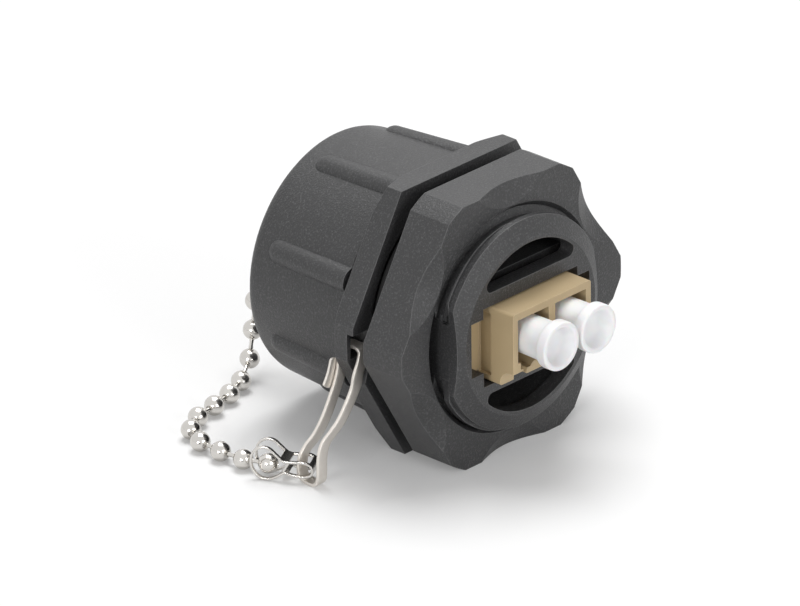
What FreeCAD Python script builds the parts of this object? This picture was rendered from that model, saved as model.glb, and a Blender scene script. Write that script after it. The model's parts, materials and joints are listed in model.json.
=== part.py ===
import FreeCAD, Part
import math
import os
import Sketcher

# Weatherproof LC duplex fibre adapter with panel nut, screw cap and ball chain.
# Row frame: X to the right, Y to the back (cap side), Z up. The origin is the
# centre of the flange's front face, on the axis of both barrels.

Vector = FreeCAD.Vector
doc = FreeCAD.newDocument("LcFibreAdapter")
sheet = doc.addObject("Spreadsheet::Sheet", "Sizes")

SIZES = [
    # flange, a hexagon lying on its lower flat
    ("flange_apothem", 16.6),
    ("flange_thick", 3.0),
    ("flange_cone_r", 17.64),
    ("flange_cone_drop", 1.65),
    ("corner_cut_x", 17.9),
    ("strap_slot_in", 14.6),
    ("strap_slot_out", 17.3),
    ("strap_slot_low", -2.1),
    ("strap_slot_high", 1.3),
    ("notch_deep", 0.96),
    # barrels
    ("front_len", 11.0),
    ("front_root_r", 12.35),
    ("front_flat_x", 11.75),
    ("collar_r", 12.9),
    ("collar_front", -9.9),
    ("collar_back", -9.2),
    ("face_r", 10.85),
    ("bore_r", 10.9),
    ("plate_thick", 2.0),
    ("rear_end", 16.2),
    ("rear_r", 13.3),
    # openings of the face plate
    ("window_r", 10.4),
    ("window_z", 6.3),
    ("slot_half", 7.9),
    ("slot_low", -5.2),
    ("slot_high", 4.65),
    ("tab_half", 9.9),
    ("tab_z", 3.4),
    # panel nut
    ("nut_apothem", 16.57),
    ("nut_corner_r", 18.4),
    ("nut_front", -8.1),
    ("nut_back", -2.1),
    ("nut_minor_r", 13.4),
    ("nut_mouth_r", 13.9),
    ("scallop_axis", 21.1),
    ("scallop_r", 7.0),
    ("scallop_deep", 1.25),
    # panel gasket
    ("gasket_in", 13.45),
    ("gasket_out", 14.9),
    ("gasket_thick", 1.5),
    ("seat_r", 15.0),
    ("seat_deep", 0.9),
    # screw cap
    ("cap_rim", 3.6),
    ("cap_r", 15.45),
    ("cap_end", 19.8),
    ("cap_edge", 1.0),
    ("cap_in_r", 13.4),
    ("cap_floor", 17.8),
    ("rib_r", 1.45),
    ("rib_rim_axis", 15.45),
    ("rib_top_axis", 14.45),
    ("rib_top_y", 15.3),
    # duplex adapter
    ("adapter_half", 6.5),
    ("adapter_top", 4.46),
    ("adapter_low", -5.06),
    ("adapter_front", -14.33),
    ("adapter_split", -1.0),
    ("adapter_back", 12.0),
    ("port_x", 3.125),
    ("port_half", 2.6),
    ("port_top", 3.55),
    ("port_low", -1.9),
    ("step_half", 2.15),
    ("step_low", -2.8),
    ("latch_half", 1.7),
    ("latch_low", -4.3),
    ("web_half", 2.0),
    ("axis_z", 0.75),
    # chain
    ("ball_r", 1.2),
    ("ball_hole_r", 0.45),
    ("ball_hole_deep", 0.45),
    ("pin_r", 0.28),
]

for row, (name, value) in enumerate(SIZES, start=1):
    sheet.set("A%d" % row, name)
    sheet.set("B%d" % row, str(value))
    sheet.setAlias("B%d" % row, name)
doc.recompute()


class Size:
    """A driving size: its value and the sheet expression it comes from."""

    def __init__(self, value, text):
        self.value = value
        self.text = text

    def join(self, other, sign, value):
        """A new size from this one, a sign and another size or number."""
        right = other.text if isinstance(other, Size) else repr(float(other))
        return Size(value, "(%s %s %s)" % (self.text, sign, right))

    def __add__(self, other):
        return self.join(other, "+", self.value + number(other))

    def __sub__(self, other):
        return self.join(other, "-", self.value - number(other))

    def __mul__(self, other):
        return self.join(other, "*", self.value * number(other))

    def __neg__(self):
        return Size(-self.value, "(-1 * %s)" % self.text)


def number(item):
    """The plain value of a size or a number."""
    return item.value if isinstance(item, Size) else float(item)


def size(name):
    """The size of that name in the sheet."""
    return Size(float(sheet.get(name)), "Sizes." + name)


def bind(target, path, item):
    """Ties one property of an object to its size, where it has one."""
    if isinstance(item, Size):
        target.setExpression(path, item.text)


def new_body(name):
    """A PartDesign body for one piece."""
    body = doc.addObject("PartDesign::Body", name)
    body.Label = name
    return body


def origin_item(body, role):
    """The origin plane or axis of a body that has this role."""
    for item in body.Origin.OriginFeatures:
        if item.Role == role:
            return item
    raise ValueError(role)


def new_sketch(body, name, role, offset=0.0, turn=0.0):
    """A sketch on an origin plane, moved along its normal or turned about its V axis."""
    sketch = body.newObject("Sketcher::SketchObject", name)
    sketch.AttachmentSupport = [(origin_item(body, role), "")]
    sketch.MapMode = "FlatFace"
    turned = FreeCAD.Rotation(Vector(0, 1, 0), turn)
    sketch.AttachmentOffset = FreeCAD.Placement(Vector(0, 0, number(offset)), turned)
    bind(sketch, "AttachmentOffset.Base.z", offset)
    return sketch


def fix_point(sketch, edge, end, point):
    """Sets both coordinates of one end of a sketch edge."""
    for kind, item in (("DistanceX", point[0]), ("DistanceY", point[1])):
        rule = Sketcher.Constraint(kind, -1, 1, edge, end, number(item))
        at = sketch.addConstraint(rule)
        bind(sketch, "Constraints[%d]" % at, item)


def polygon(sketch, points):
    """Draws a closed outline through points given as sizes or numbers."""
    spots = [Vector(number(a), number(b), 0) for a, b in points]
    count = len(spots)
    first = sketch.GeometryCount
    for k in range(count):
        sketch.addGeometry(Part.LineSegment(spots[k], spots[(k + 1) % count]))
    for k in range(count):
        after = first + (k + 1) % count
        sketch.addConstraint(Sketcher.Constraint("Coincident", first + k, 2, after, 1))
    for k in range(count):
        fix_point(sketch, first + k, 1, points[k])


def circle(sketch, centre, radius):
    """Draws a full circle."""
    spot = Vector(number(centre[0]), number(centre[1]), 0)
    at = sketch.addGeometry(Part.Circle(spot, Vector(0, 0, 1), number(radius)))
    fix_point(sketch, at, 3, centre)
    rule = sketch.addConstraint(Sketcher.Constraint("Radius", at, number(radius)))
    bind(sketch, "Constraints[%d]" % rule, radius)


def spin(body, name, points, cut=False, turn=0.0):
    """Turns an outline of (radius, y) points about the Y axis; adds or cuts it."""
    sketch = new_sketch(body, name + "_outline", "XY_Plane", 0.0, turn)
    polygon(sketch, points)
    kind = "PartDesign::Groove" if cut else "PartDesign::Revolution"
    feature = body.newObject(kind, name)
    feature.Profile = sketch
    feature.ReferenceAxis = (sketch, ["V_Axis"])
    feature.Angle = 360
    body.Tip = feature
    return feature


def slab(body, name, draw, front, back, cut=False):
    """Adds or cuts a straight block between two depths along Y."""
    start = front if cut else back
    offset = -start if isinstance(start, Size) else -float(start)
    sketch = new_sketch(body, name + "_outline", "XZ_Plane", offset)
    draw(sketch)
    kind = "PartDesign::Pocket" if cut else "PartDesign::Pad"
    feature = body.newObject(kind, name)
    feature.Profile = sketch
    length = number(back) - number(front)
    feature.Length = length
    if isinstance(back, Size):
        bind(feature, "Length", back - front)
    body.Tip = feature
    return feature


def box(body, name, x_pair, y_pair, z_pair, cut=False):
    """Adds or cuts a rectangular block."""
    low, high = z_pair
    left, right = x_pair
    points = [(left, low), (right, low), (right, high), (left, high)]
    return slab(body, name, lambda s: polygon(s, points), y_pair[0], y_pair[1], cut)


def rod(body, name, centre, radius, y_pair, cut=False):
    """Adds or cuts a round bar along Y."""
    return slab(body, name, lambda s: circle(s, centre, radius), y_pair[0], y_pair[1], cut)


def around(body, name, originals, count):
    """Repeats features round the Y axis."""
    pattern = body.newObject("PartDesign::PolarPattern", name)
    pattern.Originals = originals
    pattern.Axis = (origin_item(body, "Y_Axis"), [""])
    pattern.Angle = 360
    pattern.Occurrences = count
    body.Tip = pattern
    return pattern


def hexagon(sketch, apothem):
    """Draws a hexagon with its flats at the top and bottom."""
    side = 1.0 / math.cos(math.pi / 6)
    points = []
    for k in range(6):
        angle = k * math.pi / 3
        points.append((apothem * (side * math.cos(angle)), apothem * (side * math.sin(angle))))
    polygon(sketch, points)


def soften(body, name, radius, wanted):
    """Rounds the edges of the tip that the test picks."""
    doc.recompute()
    base = body.Tip
    names = ["Edge%d" % (k + 1) for k, e in enumerate(base.Shape.Edges) if wanted(e)]
    if not names:
        raise ValueError("no edge for " + name)
    feature = body.newObject("PartDesign::Fillet", name)
    feature.Base = (base, names)
    feature.Radius = radius
    body.Tip = feature
    return feature


def along_y(edge):
    """True for a straight edge that runs along Y."""
    if not isinstance(edge.Curve, (Part.Line, Part.LineSegment)):
        return False
    return abs(edge.tangentAt(edge.FirstParameter).y) > 0.99


# ---------------------------------------------------------------- coupler body
FRONT = -size("front_len")
coupler = new_body("coupler_body")
spin(coupler, "tube", [
    (0, FRONT),
    (size("face_r"), FRONT),
    (size("collar_r"), size("collar_front")),
    (size("collar_r"), size("collar_back")),
    (size("front_root_r"), size("collar_back") + 0.3),
    (size("front_root_r"), 0),
    (size("rear_r"), 0),
    (size("rear_r"), size("rear_end")),
    (0, size("rear_end")),
])
for side, label in ((-1, "left"), (1, "right")):
    pair = (size("front_flat_x"), 15.0) if side > 0 else (-15.0, -size("front_flat_x"))
    box(coupler, "flat_" + label, pair, (-15.0, 0.0), (-9.0, 9.0), cut=True)
slab(coupler, "flange", lambda s: hexagon(s, size("flange_apothem")), 0.0, size("flange_thick"))
spin(coupler, "flange_chamfer", [
    (size("flange_cone_r"), size("flange_thick")),
    (size("flange_cone_r") + 3.0, size("flange_thick") - size("flange_cone_drop")),
    (size("flange_cone_r") + 3.0, size("flange_thick")),
], cut=True)
box(coupler, "corner_cut", (-22.0, -size("corner_cut_x")), (-1.0, 4.0), (-4.0, 4.0), cut=True)
box(coupler, "strap_slot", (-size("strap_slot_out"), -size("strap_slot_in")), (-0.5, 3.5),
    (size("strap_slot_low"), size("strap_slot_high")), cut=True)
box(coupler, "notch", (-20.0, -size("strap_slot_in")), (-0.5, size("notch_deep")),
    (size("strap_slot_low"), size("strap_slot_high")), cut=True)
groove_low = -5.6


def strap_groove(sketch):
    """The open groove that the bail's front leg lies in, below its slot."""
    polygon(sketch, [
        (-size("strap_slot_in") - 0.3, size("strap_slot_low") + 0.2),
        (-size("strap_slot_in") - 1.5, groove_low),
        (-20.0, groove_low),
        (-20.0, size("strap_slot_low") + 0.2),
    ])


slab(coupler, "strap_groove", strap_groove, -0.5, size("notch_deep"), cut=True)
# the recess that the gasket sits in, round the foot of the barrel
spin(coupler, "gasket_seat", [
    (size("front_root_r"), 0),
    (size("seat_r"), 0),
    (size("seat_r"), size("seat_deep")),
    (size("front_root_r"), size("seat_deep")),
], cut=True)
for side, label in ((-1, "left"), (1, "right")):
    flat = size("front_flat_x")
    pair = (flat, flat + 1.0) if side > 0 else (-flat - 1.0, -flat)
    box(coupler, "seat_flat_" + label, pair, (-0.5, size("seat_deep")), (-4.2, 4.2), cut=True)
plate_back = FRONT + size("plate_thick")
spin(coupler, "front_bore", [
    (0, plate_back),
    (size("bore_r"), plate_back),
    (size("bore_r"), size("rear_end") + 1.0),
    (0, size("rear_end") + 1.0),
], cut=True)
box(coupler, "slot", (-size("slot_half"), size("slot_half")), (-12.0, plate_back + 0.5),
    (size("slot_low"), size("slot_high")), cut=True)
box(coupler, "tabs", (-size("tab_half"), size("tab_half")), (-12.0, plate_back + 0.5),
    (-size("tab_z"), size("tab_z")), cut=True)


def window(sign):
    """Draws one D-shaped window above or below the slot."""
    def draw(sketch):
        radius = number(size("window_r"))
        level = number(size("window_z"))
        start = math.asin(level / radius)
        stop = math.pi - start
        if sign < 0:
            start, stop = start + math.pi, stop + math.pi
        rim = Part.Circle(Vector(0, 0, 0), Vector(0, 0, 1), radius)
        arc = sketch.addGeometry(Part.ArcOfCircle(rim, start, stop))
        ends = [Vector(radius * math.cos(a), radius * math.sin(a), 0) for a in (stop, start)]
        line = sketch.addGeometry(Part.LineSegment(ends[0], ends[1]))
        sketch.addConstraint(Sketcher.Constraint("Coincident", arc, 2, line, 1))
        sketch.addConstraint(Sketcher.Constraint("Coincident", line, 2, arc, 1))
        sketch.addConstraint(Sketcher.Constraint("Coincident", arc, 3, -1, 1))
        sketch.addConstraint(Sketcher.Constraint("Horizontal", line))
        rule = sketch.addConstraint(Sketcher.Constraint("Radius", arc, radius))
        bind(sketch, "Constraints[%d]" % rule, size("window_r"))
        rule = sketch.addConstraint(
            Sketcher.Constraint("DistanceY", -1, 1, line, 1, sign * level))
        bind(sketch, "Constraints[%d]" % rule, size("window_z") * sign)
    return draw


slab(coupler, "window_top", window(1), -12.0, plate_back + 0.5, cut=True)
slab(coupler, "window_low", window(-1), -12.0, plate_back + 0.5, cut=True)


def window_corner(edge):
    """Picks the sharp corners of the windows."""
    centre = edge.CenterOfMass
    level = abs(abs(centre.z) - number(size("window_z"))) < 0.05
    return along_y(edge) and level and abs(centre.x) > 7.0


soften(coupler, "window_corners", 0.8, window_corner)

# ------------------------------------------------------------------- panel nut
nut = new_body("panel_nut")
slab(nut, "hexagon", lambda s: hexagon(s, size("nut_apothem")), size("nut_front"), size("nut_back"))
spin(nut, "turned_corners", [
    (size("nut_corner_r"), -9.0),
    (22.0, -9.0),
    (22.0, -1.0),
    (size("nut_corner_r"), -1.0),
], cut=True)
scallop_sketch = new_sketch(nut, "scallop_outline", "YZ_Plane")
scallop_face = number(size("nut_front"))
scallop_slope = 0.506
axis = number(size("scallop_axis"))
deep_r = number(size("scallop_r"))
reach = deep_r * scallop_slope
polygon(scallop_sketch, [
    (size("nut_front") - 0.5, size("scallop_axis")),
    (size("nut_front") + reach, size("scallop_axis")),
    (size("nut_front"), size("scallop_axis") - size("scallop_r")),
    (size("nut_front") - 0.5, size("scallop_axis") - size("scallop_r")),
])
ends = [Vector(scallop_face - 2, axis, 0), Vector(scallop_face + 5, axis, 0)]
line = scallop_sketch.addGeometry(Part.LineSegment(ends[0], ends[1]), True)
fix_point(scallop_sketch, line, 1, (size("nut_front") - 2, size("scallop_axis")))
fix_point(scallop_sketch, line, 2, (size("nut_front") + 5, size("scallop_axis")))
scallop = nut.newObject("PartDesign::Groove", "scallop")
scallop.Profile = scallop_sketch
scallop.ReferenceAxis = (scallop_sketch, ["Axis0"])
scallop.Angle = 360
nut.Tip = scallop
around(nut, "scallops", [scallop], 6)
spin(nut, "nut_bore", [
    (0, -9.0),
    (size("nut_mouth_r") + 1.0, -9.0),
    (size("nut_mouth_r"), size("nut_front")),
    (size("nut_minor_r"), size("nut_front") + 0.6),
    (size("nut_minor_r"), -1.0),
    (0, -1.0),
], cut=True)

# ---------------------------------------------------------------- panel gasket
gasket = new_body("panel_gasket")
spin(gasket, "ring", [
    (size("gasket_in"), size("seat_deep") - 0.1 - size("gasket_thick")),
    (size("gasket_out"), size("seat_deep") - 0.1 - size("gasket_thick")),
    (size("gasket_out"), size("seat_deep") - 0.1),
    (size("gasket_in"), size("seat_deep") - 0.1),
])

# ------------------------------------------------------------------- screw cap
cap = new_body("screw_cap")
end = size("cap_end")
edge = size("cap_edge")
spin(cap, "shell", [
    (0, size("cap_rim")),
    (size("cap_r"), size("cap_rim")),
    (size("cap_r"), end - edge),
    (size("cap_r") - edge, end),
    (0, end),
])
rib_sketch = new_sketch(cap, "rib_outline", "XY_Plane", 0.0, 22.5)
rib_foot = Vector(number(size("rib_rim_axis")), 2.0, 0)
rib_tip = Vector(number(size("rib_top_axis")), number(size("rib_top_y")), 0)
lean = (rib_tip - rib_foot).normalize()
across = Vector(lean.y, -lean.x, 0)
rib_r = number(size("rib_r"))
rib_points = [rib_foot, rib_foot + across * rib_r, rib_tip + across * rib_r]
rib_points.append(rib_tip + lean * rib_r)
polygon(rib_sketch, [(p.x, p.y) for p in rib_points])
axis_line = rib_sketch.addGeometry(Part.LineSegment(rib_foot, rib_tip), True)
fix_point(rib_sketch, axis_line, 1, (size("rib_rim_axis"), 2.0))
fix_point(rib_sketch, axis_line, 2, (size("rib_top_axis"), size("rib_top_y")))
rib = cap.newObject("PartDesign::Revolution", "rib")
rib.Profile = rib_sketch
rib.ReferenceAxis = (rib_sketch, ["Axis0"])
rib.Angle = 360
cap.Tip = rib
around(cap, "ribs", [rib], 8)
spin(cap, "inside", [
    (0, 0),
    (20.0, 0),
    (20.0, size("cap_rim")),
    (size("cap_in_r"), size("cap_rim")),
    (size("cap_in_r"), size("cap_floor")),
    (0, size("cap_floor")),
], cut=True)
rod(cap, "rivet_hole", (0.0, 0.0), 1.0, (end - 0.9, end + 0.5), cut=True)

# -------------------------------------------------------------------- cap seal
seal = new_body("cap_seal")
rod(seal, "disc", (0.0, 0.0), size("cap_in_r") - 0.15,
    (size("rear_end") + 0.1, size("cap_floor") - 0.05))

# -------------------------------------------------------------- duplex adapter
front_half = new_body("adapter_front_half")
half = size("adapter_half")
top = size("adapter_top")
low = size("adapter_low")
split = size("adapter_split")
box(front_half, "block", (-half, half), (size("adapter_front"), split), (low, top))
box(front_half, "ears", (-9.4, 9.4), (-8.85, -7.35), (-4.05, 4.05))
# the latch side steps back with a quarter round
step_sketch = new_sketch(front_half, "latch_step_outline", "YZ_Plane")
STEP_TOP = -3.05
STEP_BACK = -12.2
STEP_ROUND = 1.7
step_points = [(-15.0, -6.0), (-15.0, STEP_TOP), (STEP_BACK - STEP_ROUND, STEP_TOP)]
for turn_deg in (67.5, 45.0, 22.5, 0.0):
    turn = math.radians(turn_deg)
    step_points.append((STEP_BACK - STEP_ROUND + STEP_ROUND * math.cos(turn),
                        STEP_TOP - STEP_ROUND + STEP_ROUND * math.sin(turn)))
step_points.append((STEP_BACK, -6.0))
polygon(step_sketch, step_points)
latch_step = front_half.newObject("PartDesign::Pocket", "latch_step")
latch_step.Profile = step_sketch
latch_step.Midplane = True
latch_step.Length = 16.0
front_half.Tip = latch_step
for side, label in ((-1, "left"), (1, "right")):
    centre = size("port_x") * side
    port = size("port_half")
    latch = size("latch_half")
    box(front_half, "port_" + label, (centre - port, centre + port),
        (-15.0, split - size("web_half")), (size("port_low"), size("port_top")), cut=True)
    box(front_half, "latch_ledge_" + label,
        (centre - size("step_half"), centre + size("step_half")),
        (-15.0, -5.0), (size("step_low"), size("port_low") + 0.1), cut=True)
    box(front_half, "latch_" + label, (centre - latch, centre + latch),
        (-15.0, -5.5), (size("latch_low"), size("step_low") + 0.1), cut=True)
    box(front_half, "latch_notch_" + label, (centre - 1.1, centre + 1.1),
        (-15.0, -11.2), (low - 0.5, size("latch_low") + 0.1), cut=True)
    rod(front_half, "holder_" + label, (centre, size("axis_z")), 1.3,
        (split - 5.4, split - size("web_half") + 0.3))
for side, label in ((-1, "left"), (1, "right")):
    pair = (half - 0.35, half + 1.0) if side > 0 else (-half - 1.0, -half + 0.35)
    box(front_half, "side_recess_" + label, pair, (-10.8, -8.9), (-4.2, 3.6), cut=True)
    centre = size("port_x") * side
    rod(front_half, "sleeve_way_" + label, (centre, size("axis_z")), 0.86,
        (-10.0, split + 0.5), cut=True)


def front_corner(edge):
    """Picks the four long corners of the adapter's block."""
    centre = edge.CenterOfMass
    corner_x = abs(abs(centre.x) - number(half)) < 0.02
    level_top = abs(centre.z - number(top)) < 0.02
    level_low = abs(centre.z - number(low)) < 0.02
    return along_y(edge) and corner_x and (level_top or level_low)


soften(front_half, "long_corners", 0.35, front_corner)


rear_half = new_body("adapter_rear_half")
back = size("adapter_back")
box(rear_half, "block", (-half, half), (split + 0.05, back), (low, top))
for side, label in ((-1, "left"), (1, "right")):
    centre = size("port_x") * side
    box(rear_half, "port_" + label, (centre - size("port_half"), centre + size("port_half")),
        (split + size("web_half"), back + 1.0), (size("port_low"), size("port_top")), cut=True)
    box(rear_half, "latch_" + label, (centre - size("latch_half"), centre + size("latch_half")),
        (3.5, back + 1.0), (size("latch_low"), size("port_low") + 0.1), cut=True)
    rod(rear_half, "holder_" + label, (centre, size("axis_z")), 1.3,
        (split + size("web_half") - 0.3, split + 5.4))
for side, label in ((-1, "left"), (1, "right")):
    centre = size("port_x") * side
    rod(rear_half, "sleeve_way_" + label, (centre, size("axis_z")), 0.86,
        (split - 0.5, 8.0), cut=True)

retainer = new_body("adapter_retainer")
rod(retainer, "disc", (0.0, 0.0), size("bore_r") - 0.1, (-7.2, -4.8))
box(retainer, "window", (-half - 0.2, half + 0.2), (-8.0, -4.0), (low - 0.2, top + 0.2), cut=True)
box(retainer, "flat_top", (-12.0, 12.0), (-8.0, -4.0), (6.0, 12.0), cut=True)
box(retainer, "flat_low", (-12.0, 12.0), (-8.0, -4.0), (-12.0, -6.2), cut=True)

SLEEVE_R = 0.8
for side, label in ((-1, "left"), (1, "right")):
    sleeve = new_body("sleeve_" + label)
    centre = size("port_x") * side
    rod(sleeve, "tube", (centre, size("axis_z")), SLEEVE_R, (split - 4.6, split + 4.6))
    rod(sleeve, "bore", (centre, size("axis_z")), 0.6, (split - 6.0, split + 6.0), cut=True)
    box(sleeve, "split", (centre - 0.12, centre + 0.12), (split - 6.0, split + 6.0),
        (size("axis_z"), size("axis_z") + 1.5), cut=True)

# ----------------------------------------------------------------- dust plugs
PLUG = [
    (1.6, -6.6), (2.25, -6.6), (2.25, -16.3), (3.05, -16.3), (3.05, -19.0),
    (2.75, -19.4), (2.35, -19.4), (2.35, -17.3), (0.0, -17.3), (0.0, -14.4), (1.6, -14.4),
]
for side, label in ((-1, "left"), (1, "right")):
    plug = new_body("dust_plug_" + label)
    turned = spin(plug, "turned", PLUG)
    place = Vector(side * number(size("port_x")), 0, number(size("axis_z")))
    plug.Placement = FreeCAD.Placement(place, FreeCAD.Rotation())

# ----------------------------------------------------------------- bail strap


def strip(centres, half_wide, half_thick):
    """A solid strip of flat lengths through the centres, its width along X."""
    wires = []
    last = len(centres) - 1
    for k, here in enumerate(centres):
        run = Vector(*centres[min(k + 1, last)]) - Vector(*centres[max(k - 1, 0)])
        run.normalize()
        flat = Vector(half_wide / math.sqrt(1 - run.x ** 2), 0, 0)
        thin = run.cross(Vector(1, 0, 0)).normalize() * half_thick
        mid = Vector(*here)
        corners = [mid + flat + thin, mid - flat + thin, mid - flat - thin, mid + flat - thin]
        wires.append(Part.makePolygon(corners + corners[:1]))
    return Part.makeLoft(wires, True, True)


FRONT_LEG = [
    (-15.95, 1.5, -0.9),
    (-15.95, 0.75, -0.95),
    (-16.0, 0.25, -1.6),
    (-16.9, 0.25, -3.9),
    (-17.7, 0.0, -5.4),
    (-19.35, 0.3, -8.4),
    (-20.55, 0.6, -9.85),
    (-21.7, 0.9, -11.1),
    (-22.2, 1.0, -12.75),
    (-22.3, 1.05, -15.4),
    (-22.25, 1.7, -16.25),
    (-22.2, 2.6, -16.38),
]
REAR_LEG = [
    (-15.95, 1.5, -0.9),
    (-15.95, 2.7, -0.95),
    (-16.0, 3.3, -1.6),
    (-16.6, 3.32, -4.85),
    (-17.9, 3.5, -8.0),
    (-19.0, 3.6, -10.0),
    (-20.2, 3.7, -11.5),
    (-21.5, 3.9, -12.6),
    (-22.15, 4.1, -13.8),
    (-22.25, 4.1, -15.6),
    (-22.2, 3.5, -16.25),
    (-22.2, 2.6, -16.38),
]
TAIL = [
    (-17.15, 3.73, -3.0),
    (-17.7, 3.74, -4.6),
    (-18.4, 3.78, -6.0),
]
STRAP_HALF = 0.75
STRAP_THIN = 0.2
front_leg = strip(FRONT_LEG, STRAP_HALF, STRAP_THIN)
rear_leg = strip(REAR_LEG, STRAP_HALF, STRAP_THIN)
tail = strip(TAIL, 0.6, 0.15)
weld = Part.makeBox(0.5, 0.6, 0.5, Vector(-17.55, 3.15, -4.6))
strap_shape = front_leg.fuse([rear_leg, tail, weld]).removeSplitter()
if len(strap_shape.Solids) != 1:
    raise RuntimeError("the strap is not one piece")
strap = doc.addObject("Part::Feature", "bail_strap")
strap.Shape = strap_shape.Solids[0]

# --------------------------------------------------------------- chain route
ROUTE = [
    (-24.1, 7.7, -15.0),
    (-24.75, 11.0, -15.35),
    (-24.9, 16.0, -15.4),
    (-24.2, 19.6, -15.4),
    (-21.3, 22.3, -15.4),
    (-17.0, 23.4, -15.4),
    (-13.0, 24.4, -15.4),
    (-10.2, 25.5, -15.25),
    (-7.6, 26.7, -14.0),
    (-6.2, 27.4, -11.6),
    (-5.6, 27.8, -8.4),
    (-3.4, 26.7, -4.86),
]
BALL_PITCH = 3.35
route = Part.BSplineCurve()
route.interpolate([Vector(*p) for p in ROUTE])
route_edge = route.toShape()
links = int(round(route_edge.Length / BALL_PITCH))
spots = route_edge.discretize(Number=links + 1)


def turned_to(direction):
    """The rotation that takes +Z to the direction."""
    return FreeCAD.Rotation(Vector(0, 0, 1), direction)


BALL_SIDES = 10
BALL_TURNS = (-45, 0, 45)


def ring_point(radius, level, k):
    """One corner of a level ring of a faceted ball."""
    turn = 2 * math.pi * k / BALL_SIDES
    return Vector(radius * math.cos(turn), radius * math.sin(turn), level)


def faceted_ball(radius):
    """A ball of flat facets: level rings of corners between two poles."""
    rings = []
    for latitude in BALL_TURNS:
        level = radius * math.sin(math.radians(latitude))
        reach = radius * math.cos(math.radians(latitude))
        rings.append([ring_point(reach, level, k) for k in range(BALL_SIDES)])
    outlines = []
    for k in range(BALL_SIDES):
        after = (k + 1) % BALL_SIDES
        outlines.append([Vector(0, 0, -radius), rings[0][after], rings[0][k]])
        outlines.append([Vector(0, 0, radius), rings[-1][k], rings[-1][after]])
        for low_ring, high_ring in zip(rings, rings[1:]):
            outlines.append([low_ring[k], low_ring[after], high_ring[after], high_ring[k]])
    faces = [Part.Face(Part.makePolygon(o + o[:1])) for o in outlines]
    return Part.Solid(Part.Shell(faces))


def bar(start, way, length, radius):
    """A six-sided bar from a point along a direction."""
    corners = []
    for k in range(6):
        turn = math.radians(60 * k)
        corners.append(Vector(radius * math.cos(turn), radius * math.sin(turn), 0))
    shape = Part.Face(Part.makePolygon(corners + corners[:1])).extrude(Vector(0, 0, length))
    shape.Placement = FreeCAD.Placement(start, turned_to(way))
    return shape


PIN_IN = 0.2
ball_r = number(size("ball_r"))
hole_deep = number(size("ball_hole_deep"))
for k, spot in enumerate(spots):
    shape = faceted_ball(ball_r)
    shape.translate(spot)
    for near in (k - 1, k + 1):
        if 0 <= near <= links:
            way = (spots[near] - spot).normalize()
            start = spot + way * (ball_r - hole_deep)
            shape = shape.cut(bar(start, way, 1.0, number(size("ball_hole_r"))))
    ball = doc.addObject("Part::Feature", "chain_ball_%02d" % (k + 1))
    ball.Shape = shape.Solids[0]
for k in range(links):
    gap = spots[k + 1] - spots[k]
    way = Vector(gap).normalize()
    length = gap.Length - 2 * (ball_r - PIN_IN)
    pin = doc.addObject("Part::Feature", "chain_pin_%02d" % (k + 1))
    pin.Shape = bar(spots[k] + way * (ball_r - PIN_IN), way, length, number(size("pin_r")))

# ---------------------------------------------------------------- chain clips


CLIP_LINE = [
    (-1.75, 0.75), (-1.45, 1.85), (-0.6, 2.5), (0.4, 2.45), (1.25, 1.75), (2.1, 1.05),
    (3.2, 1.0), (4.5, 1.1), (5.35, 0.75), (5.55, 0.15), (5.3, -0.4), (4.4, -0.7),
    (3.2, -0.62), (2.2, -0.42), (1.35, -0.95), (0.3, -1.38), (-0.8, -1.2), (-1.55, -0.3),
]


def offset_line(points, distance):
    """A closed outline moved sideways by the distance, each corner on its own bisector."""
    count = len(points)
    moved = []
    for k in range(count):
        here = Vector(points[k][0], points[k][1], 0)
        last = Vector(points[k - 1][0], points[k - 1][1], 0)
        after = Vector(points[(k + 1) % count][0], points[(k + 1) % count][1], 0)
        run = (after - last).normalize()
        moved.append(here + Vector(-run.y, run.x, 0) * distance)
    return moved


def make_clip():
    """A strip bent into a ball cup, a waist and an eye, with a slot through each."""
    thin = 0.16
    outer = offset_line(CLIP_LINE, thin)
    inner = offset_line(CLIP_LINE, -thin)
    wide = 2.8
    band = Part.Face(Part.makePolygon(outer + outer[:1])).extrude(Vector(0, 0, wide))
    hollow = Part.Face(Part.makePolygon(inner + inner[:1])).extrude(Vector(0, 0, wide))
    band = band.cut(hollow)
    band.translate(Vector(0, 0, -wide / 2))
    cup_slot = Part.makeBox(4.2, 6.0, 1.9, Vector(-2.6, -3.0, -0.95))
    eye_slot = Part.makeBox(2.4, 6.0, 1.9, Vector(2.7, -3.0, -0.95))
    return band.cut(cup_slot).cut(eye_slot)


def put_clip(name, ball, along, above):
    """Places a clip so that its cup holds the ball and its eye points along."""
    run = Vector(*along).normalize()
    high = Vector(*above)
    high = (high - run * high.dot(run)).normalize()
    wide = run.cross(high)
    turn = FreeCAD.Matrix(
        run.x, high.x, wide.x, 0,
        run.y, high.y, wide.y, 0,
        run.z, high.z, wide.z, 0,
        0, 0, 0, 1)
    clip = doc.addObject("Part::Feature", name)
    clip.Shape = make_clip()
    clip.Placement = FreeCAD.Placement(Vector(*ball), FreeCAD.Rotation(turn))
    return clip


FIRST = (spots[0].x, spots[0].y, spots[0].z)
LAST = (spots[-1].x, spots[-1].y, spots[-1].z)
SWIVEL_TURN = math.radians(35)
put_clip("bail_clip", FIRST, (0.476, -0.879, 0.0), (0, 0, 1))
put_clip("cap_clip", LAST,
         (0.78 * math.sin(SWIVEL_TURN), -0.62, 0.78 * math.cos(SWIVEL_TURN)),
         (0.62 * math.sin(SWIVEL_TURN), 0.78, 0.62 * math.cos(SWIVEL_TURN)))

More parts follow.
